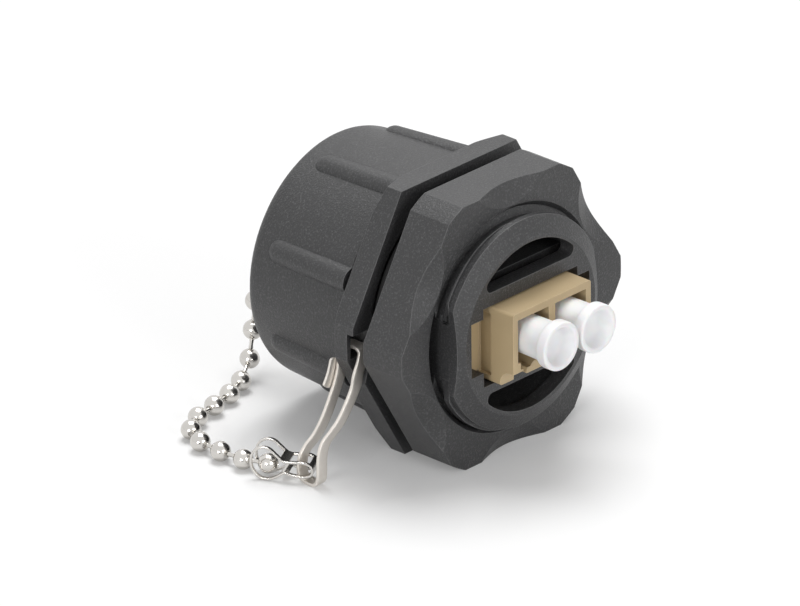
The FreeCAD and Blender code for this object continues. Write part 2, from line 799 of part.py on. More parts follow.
# ------------------------------------------------------- cap swivel and rivet
plate = Part.makeCylinder(3.0, 0.5, Vector(0, 19.95, 0), Vector(0, 1, 0))
tongue = Part.makeBox(4.6, 0.5, 3.0, Vector(-2.3, 19.95, -3.0))
shelf = Part.makeBox(4.6, 4.75, 0.5, Vector(-2.3, 19.95, -3.0))
swivel_shape = plate.fuse(tongue).fuse(shelf)
swivel_shape = swivel_shape.cut(Part.makeCylinder(1.08, 3.0, Vector(0, 19, 0), Vector(0, 1, 0)))
swivel_shape = swivel_shape.cut(Part.makeBox(3.3, 1.8, 2.0, Vector(-1.65, 22.1, -4.0)))
swivel_shape = swivel_shape.removeSplitter()
swivel_shape.rotate(Vector(0, 0, 0), Vector(0, 1, 0), math.degrees(SWIVEL_TURN))
swivel = doc.addObject("Part::Feature", "cap_swivel")
swivel.Shape = swivel_shape

shank = Part.makeCylinder(1.0, 1.7, Vector(0, 18.9, 0), Vector(0, 1, 0))
head = Part.makeCylinder(1.7, 0.6, Vector(0, 20.55, 0), Vector(0, 1, 0))
rivet = doc.addObject("Part::Feature", "swivel_rivet")
rivet.Shape = shank.fuse(head).removeSplitter()

# -------------------------------------------------------------- check, export
doc.recompute()
os.makedirs("parts", exist_ok=True)
pieces = []
for item in doc.Objects:
    if item.TypeId in ("PartDesign::Body", "Part::Feature"):
        pieces.append(item)
for item in doc.Objects:
    if "Invalid" in item.State or "Error" in item.State:
        raise RuntimeError("failed: %s %s" % (item.Label, item.State))
for item in pieces:
    shape = item.Shape
    if shape.isNull() or not shape.isValid() or len(shape.Solids) != 1:
        raise RuntimeError("bad shape: %s %d" % (item.Label, len(shape.Solids)))
    shape.exportStep("parts/%s.step" % item.Label)
print("pieces written:", len(pieces))
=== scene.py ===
"""Looks of the weatherproof duplex fibre coupler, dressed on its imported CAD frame.

The moulded shells are fair copies of their CAD nodes. The screw cap, the dust plugs,
the gasket, the strap, the chain and its clips are finer pieces that stand for theirs,
and the screw threads are added. A pale studio and the camera complete the scene.
Lengths in the classes are millimetres, and meshes are made in metres.
"""

import json
import logging
import math
from dataclasses import dataclass, field
from enum import Enum

import bmesh
import bpy
from mathutils import Matrix, Vector

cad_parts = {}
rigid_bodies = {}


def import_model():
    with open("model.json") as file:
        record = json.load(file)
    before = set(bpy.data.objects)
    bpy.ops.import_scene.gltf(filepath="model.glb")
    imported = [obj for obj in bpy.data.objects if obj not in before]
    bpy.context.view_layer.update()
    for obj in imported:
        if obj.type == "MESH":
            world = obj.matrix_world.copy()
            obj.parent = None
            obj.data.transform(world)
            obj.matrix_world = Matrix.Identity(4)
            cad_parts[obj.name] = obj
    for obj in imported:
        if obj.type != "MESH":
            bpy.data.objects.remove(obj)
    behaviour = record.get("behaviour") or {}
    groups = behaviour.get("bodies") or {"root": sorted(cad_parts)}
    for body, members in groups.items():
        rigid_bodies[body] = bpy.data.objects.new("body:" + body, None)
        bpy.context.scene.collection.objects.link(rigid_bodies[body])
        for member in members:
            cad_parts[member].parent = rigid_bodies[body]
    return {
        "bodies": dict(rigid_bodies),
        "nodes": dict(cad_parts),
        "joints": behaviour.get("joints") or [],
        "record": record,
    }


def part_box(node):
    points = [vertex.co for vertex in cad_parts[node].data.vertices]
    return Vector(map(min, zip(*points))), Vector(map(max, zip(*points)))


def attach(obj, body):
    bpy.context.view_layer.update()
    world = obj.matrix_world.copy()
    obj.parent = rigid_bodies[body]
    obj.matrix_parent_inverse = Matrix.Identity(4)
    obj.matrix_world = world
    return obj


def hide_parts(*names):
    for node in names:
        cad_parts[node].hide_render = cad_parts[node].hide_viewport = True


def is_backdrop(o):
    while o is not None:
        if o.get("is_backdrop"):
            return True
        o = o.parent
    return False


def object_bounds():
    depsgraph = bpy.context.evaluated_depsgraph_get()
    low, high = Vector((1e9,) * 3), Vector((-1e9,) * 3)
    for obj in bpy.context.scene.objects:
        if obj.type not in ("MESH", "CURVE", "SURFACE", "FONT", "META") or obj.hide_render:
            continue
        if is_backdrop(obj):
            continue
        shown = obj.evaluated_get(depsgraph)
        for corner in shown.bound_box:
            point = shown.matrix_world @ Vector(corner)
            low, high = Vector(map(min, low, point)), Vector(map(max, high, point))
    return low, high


LOG = logging.getLogger("coupler")
MM = 0.001

# Edges sharper than these stay crisp, in degrees: on fine pieces and on moulded copies.
SMOOTH_ANGLE = 32.0
SHELL_ANGLE = 16.0

# Points closer than this are one point, in metres.
MERGE = 1e-7
# A radius below this is on the line that a section turns about, in mm.
ON_AXIS = 1e-6

# Strip edges sharper than this are softened, in degrees, each in this many parts.
STRIP_EDGE_ANGLE = 50.0
STRIP_EDGE_PARTS = 2

# Socket types.
FLOAT = "NodeSocketFloat"
INTEGER = "NodeSocketInt"
VECTOR = "NodeSocketVector"
GEOMETRY = "NodeSocketGeometry"

# A colour Mix node's first and second colour inputs, and its colour output.
MIX_FIRST = 6
MIX_SECOND = 7
MIX_RESULT = 2

# Fine grain: octaves and roughness of its noise, and where its peaks begin and end.
FINE_DETAIL = 3.0
FINE_ROUGHNESS = 0.6
PEAK_BEGINS = 0.52
PEAK_ENDS = 0.72
# Slow drift: octaves of its noise, its scale against the fine grain's, and its middle.
DRIFT_DETAIL = 2.0
DRIFT_SCALE = 0.045
DRIFT_MIDDLE = 0.5

# Soft edges: samples, and how well the softened normal agrees with the true one where
# the painted edge highlight begins and where it is strongest.
EDGE_SAMPLES = 6
EDGE_HIGHLIGHT_BEGINS = 0.999
EDGE_HIGHLIGHT_FULL = 0.90

# How much the drift moves the roughness, and what keeps its mean at the finish's own.
ROUGH_DRIFT = 0.25
ROUGH_OFFSET = 0.12
# How much the drift moves the brightness, for a mottle of 1.
MOTTLE_GAIN = 4.0
# The pale colour of the painted edge highlight and of the grain peaks, from the base colour.
PALE_GAIN = 1.6
PALE_LIFT = 0.07
# Height of the grain against its size, and how deep light enters the plugs, in mm.
GRAIN_HEIGHT = 0.5
SCATTER = 0.8


class Slot(Enum):
    """The material slots of the record."""

    DARK = "dark_plastic"
    RUBBER = "black_rubber"
    BEIGE = "beige_plastic"
    WHITE = "white_plastic"
    ZIRCONIA = "zirconia"
    STRAP = "strap_steel"
    NICKEL = "bright_nickel"


@dataclass(frozen=True)
class Finish:
    """One surface finish.

    Attributes:
        name: Name of the material.
        colour: Base colour, linear RGB.
        roughness: Mean roughness.
        metallic: 1 for bare metal.
        grain_mm: Size of the finest grain.
        grain: Height of the grain bump, 0 to 1.
        speckle: How much the grain lightens its own peaks.
        edge: Strength of the highlight painted on the edges.
        edge_mm: Radius of the softened edges, which also sets the width of their painted
            highlight.
        mottle: Strength of the slow colour drift.
        soft: Subsurface weight.
    """

    name: str
    colour: tuple
    roughness: float
    metallic: float = 0.0
    grain_mm: float = 0.2
    grain: float = 0.2
    speckle: float = 0.1
    edge: float = 0.3
    edge_mm: float = 0.12
    mottle: float = 0.08
    soft: float = 0.0


# Each finish's edge sets the strength of the highlight painted on its edges.
FINISHES = {
    Slot.DARK: Finish(
        "moulded_dark", (0.029, 0.029, 0.03), 0.44, grain_mm=0.24, grain=0.7, speckle=0.6,
        edge=1.0, edge_mm=0.16),
    Slot.RUBBER: Finish(
        "gasket_black", (0.008, 0.008, 0.008), 0.6, grain_mm=0.3, grain=0.1, speckle=0.0,
        edge=0.05),
    Slot.BEIGE: Finish(
        "moulded_beige", (0.46, 0.35, 0.2), 0.5, grain_mm=0.2, grain=0.08, speckle=0.03,
        edge=0.45, edge_mm=0.14, mottle=0.04),
    Slot.WHITE: Finish(
        "plug_white", (0.84, 0.845, 0.855), 0.42, grain_mm=0.4, grain=0.03, speckle=0.0,
        edge=0.05, edge_mm=0.1, mottle=0.02, soft=0.2),
    Slot.ZIRCONIA: Finish(
        "sleeve_zirconia", (0.82, 0.8, 0.75), 0.25, grain=0.03, speckle=0.0),
    Slot.STRAP: Finish(
        "strap_satin", (0.72, 0.68, 0.63), 0.4, metallic=0.75, grain_mm=0.35, grain=0.12,
        speckle=0.08, edge=0.3, edge_mm=0.06),
    Slot.NICKEL: Finish(
        "chain_nickel", (0.62, 0.6, 0.57), 0.16, metallic=1.0, grain_mm=0.5, grain=0.05,
        speckle=0.0, edge=0.15, edge_mm=0.05, mottle=0.05),
}


class Graph:
    """A thin helper that builds and wires nodes."""

    def __init__(self, tree: bpy.types.NodeTree) -> None:
        """Keeps the tree."""
        self.tree = tree

    def add(self, kind: str, **settings: object) -> bpy.types.Node:
        """Adds a node.

        Args:
            kind: Blender's node type name.
            **settings: Attributes to set on it.

        Returns:
            The new node.
        """
        node = self.tree.nodes.new(kind)
        for key, value in settings.items():
            setattr(node, key, value)
        return node

    def wire(self, source: bpy.types.NodeSocket, target: bpy.types.NodeSocket) -> None:
        """Joins an output socket to an input socket."""
        self.tree.links.new(source, target)

    def feed(self, socket: bpy.types.NodeSocket, item: object) -> None:
        """Gives an input socket a number or another node's output.

        Args:
            socket: The input socket.
            item: A number, an output socket, or None to leave the socket alone.
        """
        if isinstance(item, bpy.types.NodeSocket):
            self.wire(item, socket)
        elif item is not None:
            socket.default_value = item

    def maths(self, operation: str, first: object, second: object = None,
              clamp: bool = False) -> bpy.types.NodeSocket:
        """Adds a Math node.

        Args:
            operation: The operation's name.
            first: Socket or number.
            second: Socket, number or None.
            clamp: True to keep the result in 0 to 1.

        Returns:
            The output socket.
        """
        node = self.add("ShaderNodeMath", operation=operation, use_clamp=clamp)
        self.feed(node.inputs[0], first)
        self.feed(node.inputs[1], second)
        return node.outputs[0]

    def end(self, shape: bpy.types.NodeSocket, leave: bpy.types.Node,
            material: bpy.types.Material) -> None:
        """Ends a geometry tree: instances made real, material set.

        Args:
            shape: Output socket of the geometry.
            leave: The tree's leaving node.
            material: The material of its faces.
        """
        real = self.add("GeometryNodeRealizeInstances")
        self.wire(shape, real.inputs[0])
        paint = self.add("GeometryNodeSetMaterial")
        paint.inputs["Material"].default_value = material
        self.wire(real.outputs[0], paint.inputs["Geometry"])
        self.wire(paint.outputs[0], leave.inputs[0])


def open_tree(name: str, kind: str, inputs: tuple, outputs: tuple) -> tuple:
    """Makes a node tree with its named sockets.

    Args:
        name: Name of the tree.
        kind: Blender's name for the kind of tree.
        inputs: Label, socket type and starting value or None, for each input.
        outputs: Label and socket type, for each output.

    Returns:
        The tree's graph, its entry node and its leaving node.
    """
    tree = bpy.data.node_groups.new(name, kind)
    for label, socket_type, value in inputs:
        socket = tree.interface.new_socket(label, in_out="INPUT", socket_type=socket_type)
        if value is not None:
            socket.default_value = value
    for label, socket_type in outputs:
        tree.interface.new_socket(label, in_out="OUTPUT", socket_type=socket_type)
    graph = Graph(tree)
    return graph, graph.add("NodeGroupInput"), graph.add("NodeGroupOutput")


def build_grain_group() -> bpy.types.NodeTree:
    """Builds the node group for fine moulded or ground grain.

    Returns:
        The node group: Vector and Size in; Height, Peak and Drift out.
    """
    graph, entry, leave = open_tree(
        "surface_grain", "ShaderNodeTree", (("Vector", VECTOR, None), ("Size", FLOAT, None)),
        (("Height", FLOAT), ("Peak", FLOAT), ("Drift", FLOAT)))
    fine = graph.add("ShaderNodeTexNoise", noise_dimensions="3D")
    fine.inputs["Detail"].default_value = FINE_DETAIL
    fine.inputs["Roughness"].default_value = FINE_ROUGHNESS
    wide = graph.add("ShaderNodeTexNoise", noise_dimensions="3D")
    wide.inputs["Detail"].default_value = DRIFT_DETAIL
    scale = graph.maths("DIVIDE", 1.0, entry.outputs["Size"])
    slow = graph.maths("MULTIPLY", scale, DRIFT_SCALE)
    graph.wire(entry.outputs["Vector"], fine.inputs["Vector"])
    graph.wire(entry.outputs["Vector"], wide.inputs["Vector"])
    graph.wire(scale, fine.inputs["Scale"])
    graph.wire(slow, wide.inputs["Scale"])
    peak = graph.add("ShaderNodeMapRange", clamp=True)
    peak.inputs["From Min"].default_value = PEAK_BEGINS
    peak.inputs["From Max"].default_value = PEAK_ENDS
    graph.wire(fine.outputs[0], peak.inputs["Value"])
    graph.wire(fine.outputs[0], leave.inputs["Height"])
    graph.wire(peak.outputs[0], leave.inputs["Peak"])
    graph.wire(wide.outputs[0], leave.inputs["Drift"])
    return graph.tree


def build_edge_and_highlight_group() -> bpy.types.NodeTree:
    """Builds the node group that finds softened edges and masks where a highlight is painted on
    them.

    Returns:
        The node group: Radius in; Normal and Edge out, where Edge is the mask of the painted
            edge highlight.
    """
    graph, entry, leave = open_tree(
        "soft_edges_and_highlight", "ShaderNodeTree", (("Radius", FLOAT, None),),
        (("Normal", VECTOR), ("Edge", FLOAT)))
    bevel = graph.add("ShaderNodeBevel", samples=EDGE_SAMPLES)
    graph.wire(entry.outputs["Radius"], bevel.inputs["Radius"])
    here = graph.add("ShaderNodeNewGeometry")
    dot = graph.add("ShaderNodeVectorMath", operation="DOT_PRODUCT")
    graph.wire(bevel.outputs[0], dot.inputs[0])
    graph.wire(here.outputs["Normal"], dot.inputs[1])
    spread = graph.add("ShaderNodeMapRange", clamp=True)
    spread.inputs["From Min"].default_value = EDGE_HIGHLIGHT_BEGINS
    spread.inputs["From Max"].default_value = EDGE_HIGHLIGHT_FULL
    graph.wire(dot.outputs["Value"], spread.inputs["Value"])
    graph.wire(bevel.outputs[0], leave.inputs["Normal"])
    graph.wire(spread.outputs[0], leave.inputs["Edge"])
    return graph.tree


class Paint:
    """Makes the materials from the finishes."""

    def __init__(self) -> None:
        """Builds the shared node groups once."""
        self.grain = build_grain_group()
        self.edges = build_edge_and_highlight_group()
        self.made: dict = {}

    def material(self, slot: Slot) -> bpy.types.Material:
        """Returns the material of a slot, making it the first time.

        Args:
            slot: The record's material slot.

        Returns:
            The material.
        """
        finish = FINISHES[slot]
        if finish.name in self.made:
            return self.made[finish.name]
        made = bpy.data.materials.new(finish.name)
        made.use_nodes = True
        made.diffuse_color = (*finish.colour, 1.0)
        graph = Graph(made.node_tree)
        shader = made.node_tree.nodes["Principled BSDF"]
        place = graph.add("ShaderNodeTexCoord")
        grain = graph.add("ShaderNodeGroup", node_tree=self.grain)
        grain.inputs["Size"].default_value = finish.grain_mm * MM
        graph.wire(place.outputs["Object"], grain.inputs["Vector"])
        # The edge group softens the normal at edges and gives the mask for the painted edge
        # highlight.
        soft = graph.add("ShaderNodeGroup", node_tree=self.edges)
        soft.inputs["Radius"].default_value = finish.edge_mm * MM
        self.colour(graph, shader, finish, grain, soft)
        rough = graph.maths("MULTIPLY", grain.outputs["Drift"], ROUGH_DRIFT)
        rough = graph.maths("ADD", rough, finish.roughness - ROUGH_OFFSET, clamp=True)
        graph.wire(rough, shader.inputs["Roughness"])
        bump = graph.add("ShaderNodeBump")
        bump.inputs["Strength"].default_value = finish.grain
        bump.inputs["Distance"].default_value = finish.grain_mm * MM * GRAIN_HEIGHT
        graph.wire(grain.outputs["Height"], bump.inputs["Height"])
        graph.wire(soft.outputs["Normal"], bump.inputs["Normal"])
        graph.wire(bump.outputs[0], shader.inputs["Normal"])
        shader.inputs["Metallic"].default_value = finish.metallic
        shader.inputs["Subsurface Weight"].default_value = finish.soft
        shader.inputs["Subsurface Scale"].default_value = SCATTER * MM
        self.made[finish.name] = made
        return made

    def colour(self, graph: Graph, shader: bpy.types.Node, finish: Finish,
               grain: bpy.types.Node, soft: bpy.types.Node) -> None:
        """Wires the base colour with its speckle, the highlight painted on its edges and slow
        drift.

        Args:
            graph: The material's graph.
            shader: Its Principled shader.
            finish: The finish.
            grain: The grain group's node.
            soft: The edge group's node, whose Edge mask places the painted highlight.
        """
        light = graph.maths("MULTIPLY", grain.outputs["Peak"], finish.speckle)
        # rim is the painted highlight along the edges, from the edge mask.
        rim = graph.maths("MULTIPLY", soft.outputs["Edge"], finish.edge)
        lift = graph.maths("ADD", light, rim, clamp=True)
        drift = graph.maths("SUBTRACT", grain.outputs["Drift"], DRIFT_MIDDLE)
        drift = graph.maths("MULTIPLY", drift, finish.mottle * MOTTLE_GAIN)
        drift = graph.maths("ADD", drift, 1.0)
        base = graph.add("ShaderNodeMix", data_type="RGBA", blend_type="MIX")
        base.inputs[MIX_FIRST].default_value = (*finish.colour, 1.0)
        # The pale colour that both the speckle and the painted edge highlight move towards.
        pale = tuple(min(1.0, c * PALE_GAIN + PALE_LIFT) for c in finish.colour)
        base.inputs[MIX_SECOND].default_value = (*pale, 1.0)
        graph.wire(lift, base.inputs[0])
        tone = graph.add("ShaderNodeHueSaturation")
        graph.wire(base.outputs[MIX_RESULT], tone.inputs["Color"])
        graph.wire(drift, tone.inputs["Value"])
        graph.wire(tone.outputs[0], shader.inputs["Base Color"])


class Workshop:
    """Turns meshes into pieces that ride on the frame."""

    def __init__(self, frame: dict, paint: Paint) -> None:
        """Reads which body each CAD node belongs to.

        Args:
            paint: The maker of the materials.
        """
        self.frame = frame
        self.paint = paint
        self.body_of = {}
        for body, nodes in frame["record"]["behaviour"]["bodies"].items():
            for node in nodes:
                self.body_of[node] = body

    def piece(self, name: str, mesh: bpy.types.Mesh, slot: Slot, stands_for: tuple = (),
              rides: str = "", angle: float = SMOOTH_ANGLE) -> bpy.types.Object:
        """Finishes one piece: the material of its slot, smooth shading and body.

        Args:
            name: Name of the piece.
            mesh: Its mesh, in metres, in the frame's place.
            slot: Its material slot.
            stands_for: The CAD nodes that it replaces.
            rides: The body it rides on, where it replaces no node.
            angle: Edges sharper than this stay crisp, in degrees.

        Returns:
            The new object.
        """
        mesh.shade_smooth()
        mesh.set_sharp_from_angle(angle=math.radians(angle))
        mesh.materials.clear()
        mesh.materials.append(self.paint.material(slot))
        made = bpy.data.objects.new(name, mesh)
        bpy.context.scene.collection.objects.link(made)
        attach(made, rides or self.body_of[stands_for[0]])
        if stands_for:
            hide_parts(*stands_for)
        LOG.info("%s: %d faces, %s", name, len(mesh.polygons), slot.value)
        return made

    def dress_nodes(self) -> None:
        """Gives every CAD node the material of its record slot."""
        for row in self.frame["record"]["subparts"]:
            node = self.frame["nodes"][row["node"]]
            node.data.materials.clear()
            node.data.materials.append(self.paint.material(Slot(row["material_slot"])))

    def baked(self, holder: bpy.types.Object, name: str) -> bpy.types.Mesh:
        """Applies an object's modifiers to a plain mesh and removes the object.

        Args:
            holder: The object with its modifiers.
            name: Name of the new mesh.

        Returns:
            The mesh.
        """
        bpy.context.view_layer.update()
        graph = bpy.context.evaluated_depsgraph_get()
        mesh = bpy.data.meshes.new_from_object(holder.evaluated_get(graph))
        mesh.name = name
        bpy.data.objects.remove(holder)
        return mesh

    def holder(self, mesh: bpy.types.Mesh) -> bpy.types.Object:
        """Puts a mesh in the scene for its modifiers to be added.

        Args:
            mesh: The mesh.

        Returns:
            The object that holds it.
        """
        made = bpy.data.objects.new("holder", mesh)
        bpy.context.scene.collection.objects.link(made)
        return made

    def walled(self, sheet: bpy.types.Mesh, name: str, thick: float, edge_wide: float,
               even: bool) -> bpy.types.Mesh:
        """Gives a sheet its thickness, half to each side, and softened edges.

        Args:
            sheet: The sheet.
            name: Name of the new mesh.
            thick: The thickness, in mm.
            edge_wide: Width of the softened edges, in mm.
            even: True to keep the thickness through bends.

        Returns:
            The mesh.
        """
        holder = self.holder(sheet)
        wall = holder.modifiers.new("wall", "SOLIDIFY")
        wall.thickness = thick * MM
        wall.offset = 0.0
        wall.use_even_offset = even
        edge = holder.modifiers.new("edge", "BEVEL")
        edge.width = edge_wide * MM
        edge.segments = STRIP_EDGE_PARTS
        edge.angle_limit = math.radians(STRIP_EDGE_ANGLE)
        return self.baked(holder, name)

    def centre(self, node: str) -> Vector:
        """The middle of a CAD node's box, in metres."""
        low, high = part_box(node)
        return (Vector(low) + Vector(high)) * 0.5


def closed_up(build: bmesh.types.BMesh, mesh: bpy.types.Mesh) -> bpy.types.Mesh:
    """Turns the faces outwards and writes the work into a mesh.

    Args:
        build: The faces and points, which are freed.
        mesh: The mesh to write.

    Returns:
        The mesh.
    """
    bmesh.ops.recalc_face_normals(build, faces=build.faces)
    build.to_mesh(mesh)
    build.free()
    return mesh


def rounded(points: tuple, radii: dict, steps: int) -> list:
    """Rounds chosen corners of a closed outline with arcs.

    Args:
        points: The outline's corners in order.
        radii: Corner number to rounding distance along each side.
        steps: Parts in each arc.

    Returns:
        The new outline.
    """
    made = []
    count = len(points)
    for k, corner in enumerate(points):
        here = Vector(corner)
        reach = radii.get(k, 0.0)
        if not reach:
            made.append(here)
            continue
        before = (Vector(points[k - 1]) - here).normalized() * reach
        after = (Vector(points[(k + 1) % count]) - here).normalized() * reach
        for step in range(steps + 1):
            part = step / steps
            start = here + before
            end = here + after
            near = start.lerp(here, part)
            far = here.lerp(end, part)
            made.append(near.lerp(far, part))
    return made


def turned(name: str, outline: list, sides: int,
           centre: tuple = (0.0, 0.0)) -> bpy.types.Mesh:
    """Revolves a closed outline of (radius, y) about a line along Y.

    Args:
        name: Name of the mesh.
        outline: The section's points, in mm.
        sides: Steps round the line.
        centre: x and z of the line, in mm.

    Returns:
        The mesh, in metres.
    """
    build = bmesh.new()
    rings = []
    for radius, level in outline:
        if radius < ON_AXIS:
            pole = build.verts.new((centre[0] * MM, level * MM, centre[1] * MM))
            rings.append([pole] * sides)
            continue
        ring = []
        for k in range(sides):
            turn = 2.0 * math.pi * k / sides
            x = centre[0] + radius * math.cos(turn)
            z = centre[1] + radius * math.sin(turn)
            ring.append(build.verts.new((x * MM, level * MM, z * MM)))
        rings.append(ring)
    for k, ring in enumerate(rings):
        after = rings[(k + 1) % len(rings)]
        for side in range(sides):
            far = (side + 1) % sides
            corners = [ring[side], ring[far], after[far], after[side]]
            kept = list(dict.fromkeys(corners))
            if len(kept) > 2:
                build.faces.new(kept)
    return closed_up(build, bpy.data.meshes.new(name))


def smooth_line(points: tuple, parts: int, closed: bool = False) -> list:
    """Points along a smooth curve that passes through the given ones.

    Args:
        points: The points it passes.
        parts: Steps between two points.
        closed: True for a loop.

    Returns:
        The points of the curve.
    """
    spots = [Vector(p) for p in points]
    count = len(spots)
    made = []
    for k in range(count if closed else count - 1):
        if closed:
            quad = [spots[(k + j) % count] for j in (-1, 0, 1, 2)]
        else:
            quad = [spots[min(max(k + j, 0), count - 1)] for j in (-1, 0, 1, 2)]
        for step in range(parts):
            t = step / parts
            lead = quad[1] * 2.0 + (quad[2] - quad[0]) * t
            bend = (quad[0] * 2.0 - quad[1] * 5.0 + quad[2] * 4.0 - quad[3]) * t * t
            twist = (quad[1] * 3.0 - quad[0] - quad[2] * 3.0 + quad[3]) * t * t * t
            made.append((lead + bend + twist) * 0.5)
    if not closed:
        made.append(spots[-1])
    return made


@dataclass
class MouldedShells:
    """The moulded pieces whose CAD shape is right: fair copies with smooth shading.

    Attributes:
        nodes: The CAD nodes that are copied.
    """

    nodes: tuple = ("coupler_body", "panel_nut", "adapter_front_half", "adapter_rear_half",
                    "adapter_retainer", "cap_seal", "sleeve_left", "sleeve_right", "cap_swivel")

    def build(self, shop: Workshop) -> None:
        """Copies each node, drops its stored normals and merges its doubled points.

        Args:
            shop: The workshop that finishes the pieces.
        """
        rows = {row["node"]: row["material_slot"] for row in shop.frame["record"]["subparts"]}
        for node in self.nodes:
            mesh = shop.frame["nodes"][node].data.copy()
            if "custom_normal" in mesh.attributes:
                mesh.attributes.remove(mesh.attributes["custom_normal"])
            build = bmesh.new()
            build.from_mesh(mesh)
            bmesh.ops.remove_doubles(build, verts=build.verts, dist=MERGE)
            closed_up(build, mesh)
            shop.piece(node + "_fair", mesh, Slot(rows[node]), (node,), angle=SHELL_ANGLE)


@dataclass
class ScrewThread:
    """One round of thread ridge, made by geometry nodes along a spiral.

    Attributes:
        name: Name of the piece.
        body: The body it rides on.
        foot: Radius at the ridge's foot, in mm.
        crest: Radius at its crest, in mm.
        pitch: Rise in each turn, in mm.
        start: y where the ridge starts, in mm.
        turns: How many turns it makes.
        foot_wide: Width at the foot, in mm.
        crest_wide: Width at the crest, in mm.
        first: Turn at which the ridge starts, in degrees from +X.
        cuts: Planes that trim it, each a point and an outward normal, in mm.
        steps: Steps in each turn.
    """

    name: str
    body: str
    foot: float
    crest: float
    pitch: float
    start: float
    turns: float
    foot_wide: float
    crest_wide: float
    first: float = 0.0
    cuts: tuple = ()
    steps: int = 96

    def tree(self, material: bpy.types.Material) -> bpy.types.NodeTree:
        """Builds the node tree: spiral, ridge section, material.

        Args:
            material: The ridge's material.

        Returns:
            The geometry node tree.
        """
        inputs = (
            ("Geometry", GEOMETRY, None),
            ("Middle Radius", FLOAT, (self.foot + self.crest) * 0.5 * MM),
            ("Rise", FLOAT, self.pitch * self.turns * MM),
            ("Turns", FLOAT, self.turns),
        )
        graph, entry, leave = open_tree(
            self.name + "_ridge", "GeometryNodeTree", inputs, (("Geometry", GEOMETRY),))
        spiral = graph.add("GeometryNodeCurveSpiral")
        spiral.inputs["Resolution"].default_value = self.steps
        graph.wire(entry.outputs["Turns"], spiral.inputs["Rotations"])
        graph.wire(entry.outputs["Middle Radius"], spiral.inputs["Start Radius"])
        graph.wire(entry.outputs["Middle Radius"], spiral.inputs["End Radius"])
        graph.wire(entry.outputs["Rise"], spiral.inputs["Height"])
        upright = graph.add("GeometryNodeSetCurveNormal", mode="Z_UP")
        graph.wire(spiral.outputs[0], upright.inputs[0])
        section = graph.add("GeometryNodeCurvePrimitiveQuadrilateral", mode="TRAPEZOID")
        inner, outer = self.foot_wide, self.crest_wide
        if self.crest < self.foot:
            inner, outer = outer, inner
        section.inputs["Bottom Width"].default_value = inner * MM
        section.inputs["Top Width"].default_value = outer * MM
        section.inputs["Height"].default_value = abs(self.crest - self.foot) * MM
        section.inputs["Offset"].default_value = 0.0
        turn = graph.add("GeometryNodeTransform")
        turn.inputs["Rotation"].default_value = (0.0, 0.0, math.radians(90.0))
        graph.wire(section.outputs[0], turn.inputs[0])
        sweep = graph.add("GeometryNodeCurveToMesh")
        sweep.inputs["Fill Caps"].default_value = True
        graph.wire(upright.outputs[0], sweep.inputs["Curve"])
        graph.wire(turn.outputs[0], sweep.inputs["Profile Curve"])
        lay = graph.add("GeometryNodeTransform")
        lay.inputs["Rotation"].default_value = (math.radians(-90.0), 0.0, 0.0)
        lay.inputs["Translation"].default_value = (0.0, self.start * MM, 0.0)
        graph.wire(sweep.outputs[0], lay.inputs[0])
        graph.end(lay.outputs[0], leave, material)
        return graph.tree

    def build(self, shop: Workshop) -> None:
        """Makes the ridge and lets it ride on its body.

        Args:
            shop: The workshop that finishes the piece.
        """
        holder = shop.holder(bpy.data.meshes.new(self.name))
        nodes = holder.modifiers.new("ridge", "NODES")
        nodes.node_group = self.tree(shop.paint.material(Slot.DARK))
        mesh = shop.baked(holder, self.name)
        mesh.transform(Matrix.Rotation(math.radians(self.first), 4, "Y"))
        self.trim(mesh)
        shop.piece(self.name, mesh, Slot.DARK, rides=self.body)

    def trim(self, mesh: bpy.types.Mesh) -> None:
        """Cuts the ridge off past each plane and closes the cut.

        Args:
            mesh: The ridge's mesh, in metres.
        """
        build = bmesh.new()
        build.from_mesh(mesh)
        bmesh.ops.remove_doubles(build, verts=build.verts, dist=MERGE)
        for spot, normal in self.cuts:
            parts = build.verts[:] + build.edges[:] + build.faces[:]
            cut = bmesh.ops.bisect_plane(build, geom=parts, plane_co=Vector(spot) * MM,
                                         plane_no=Vector(normal), clear_outer=True)
            rim = [e for e in cut["geom_cut"] if isinstance(e, bmesh.types.BMEdge)]
            bmesh.ops.holes_fill(build, edges=rim)
        closed_up(build, mesh)


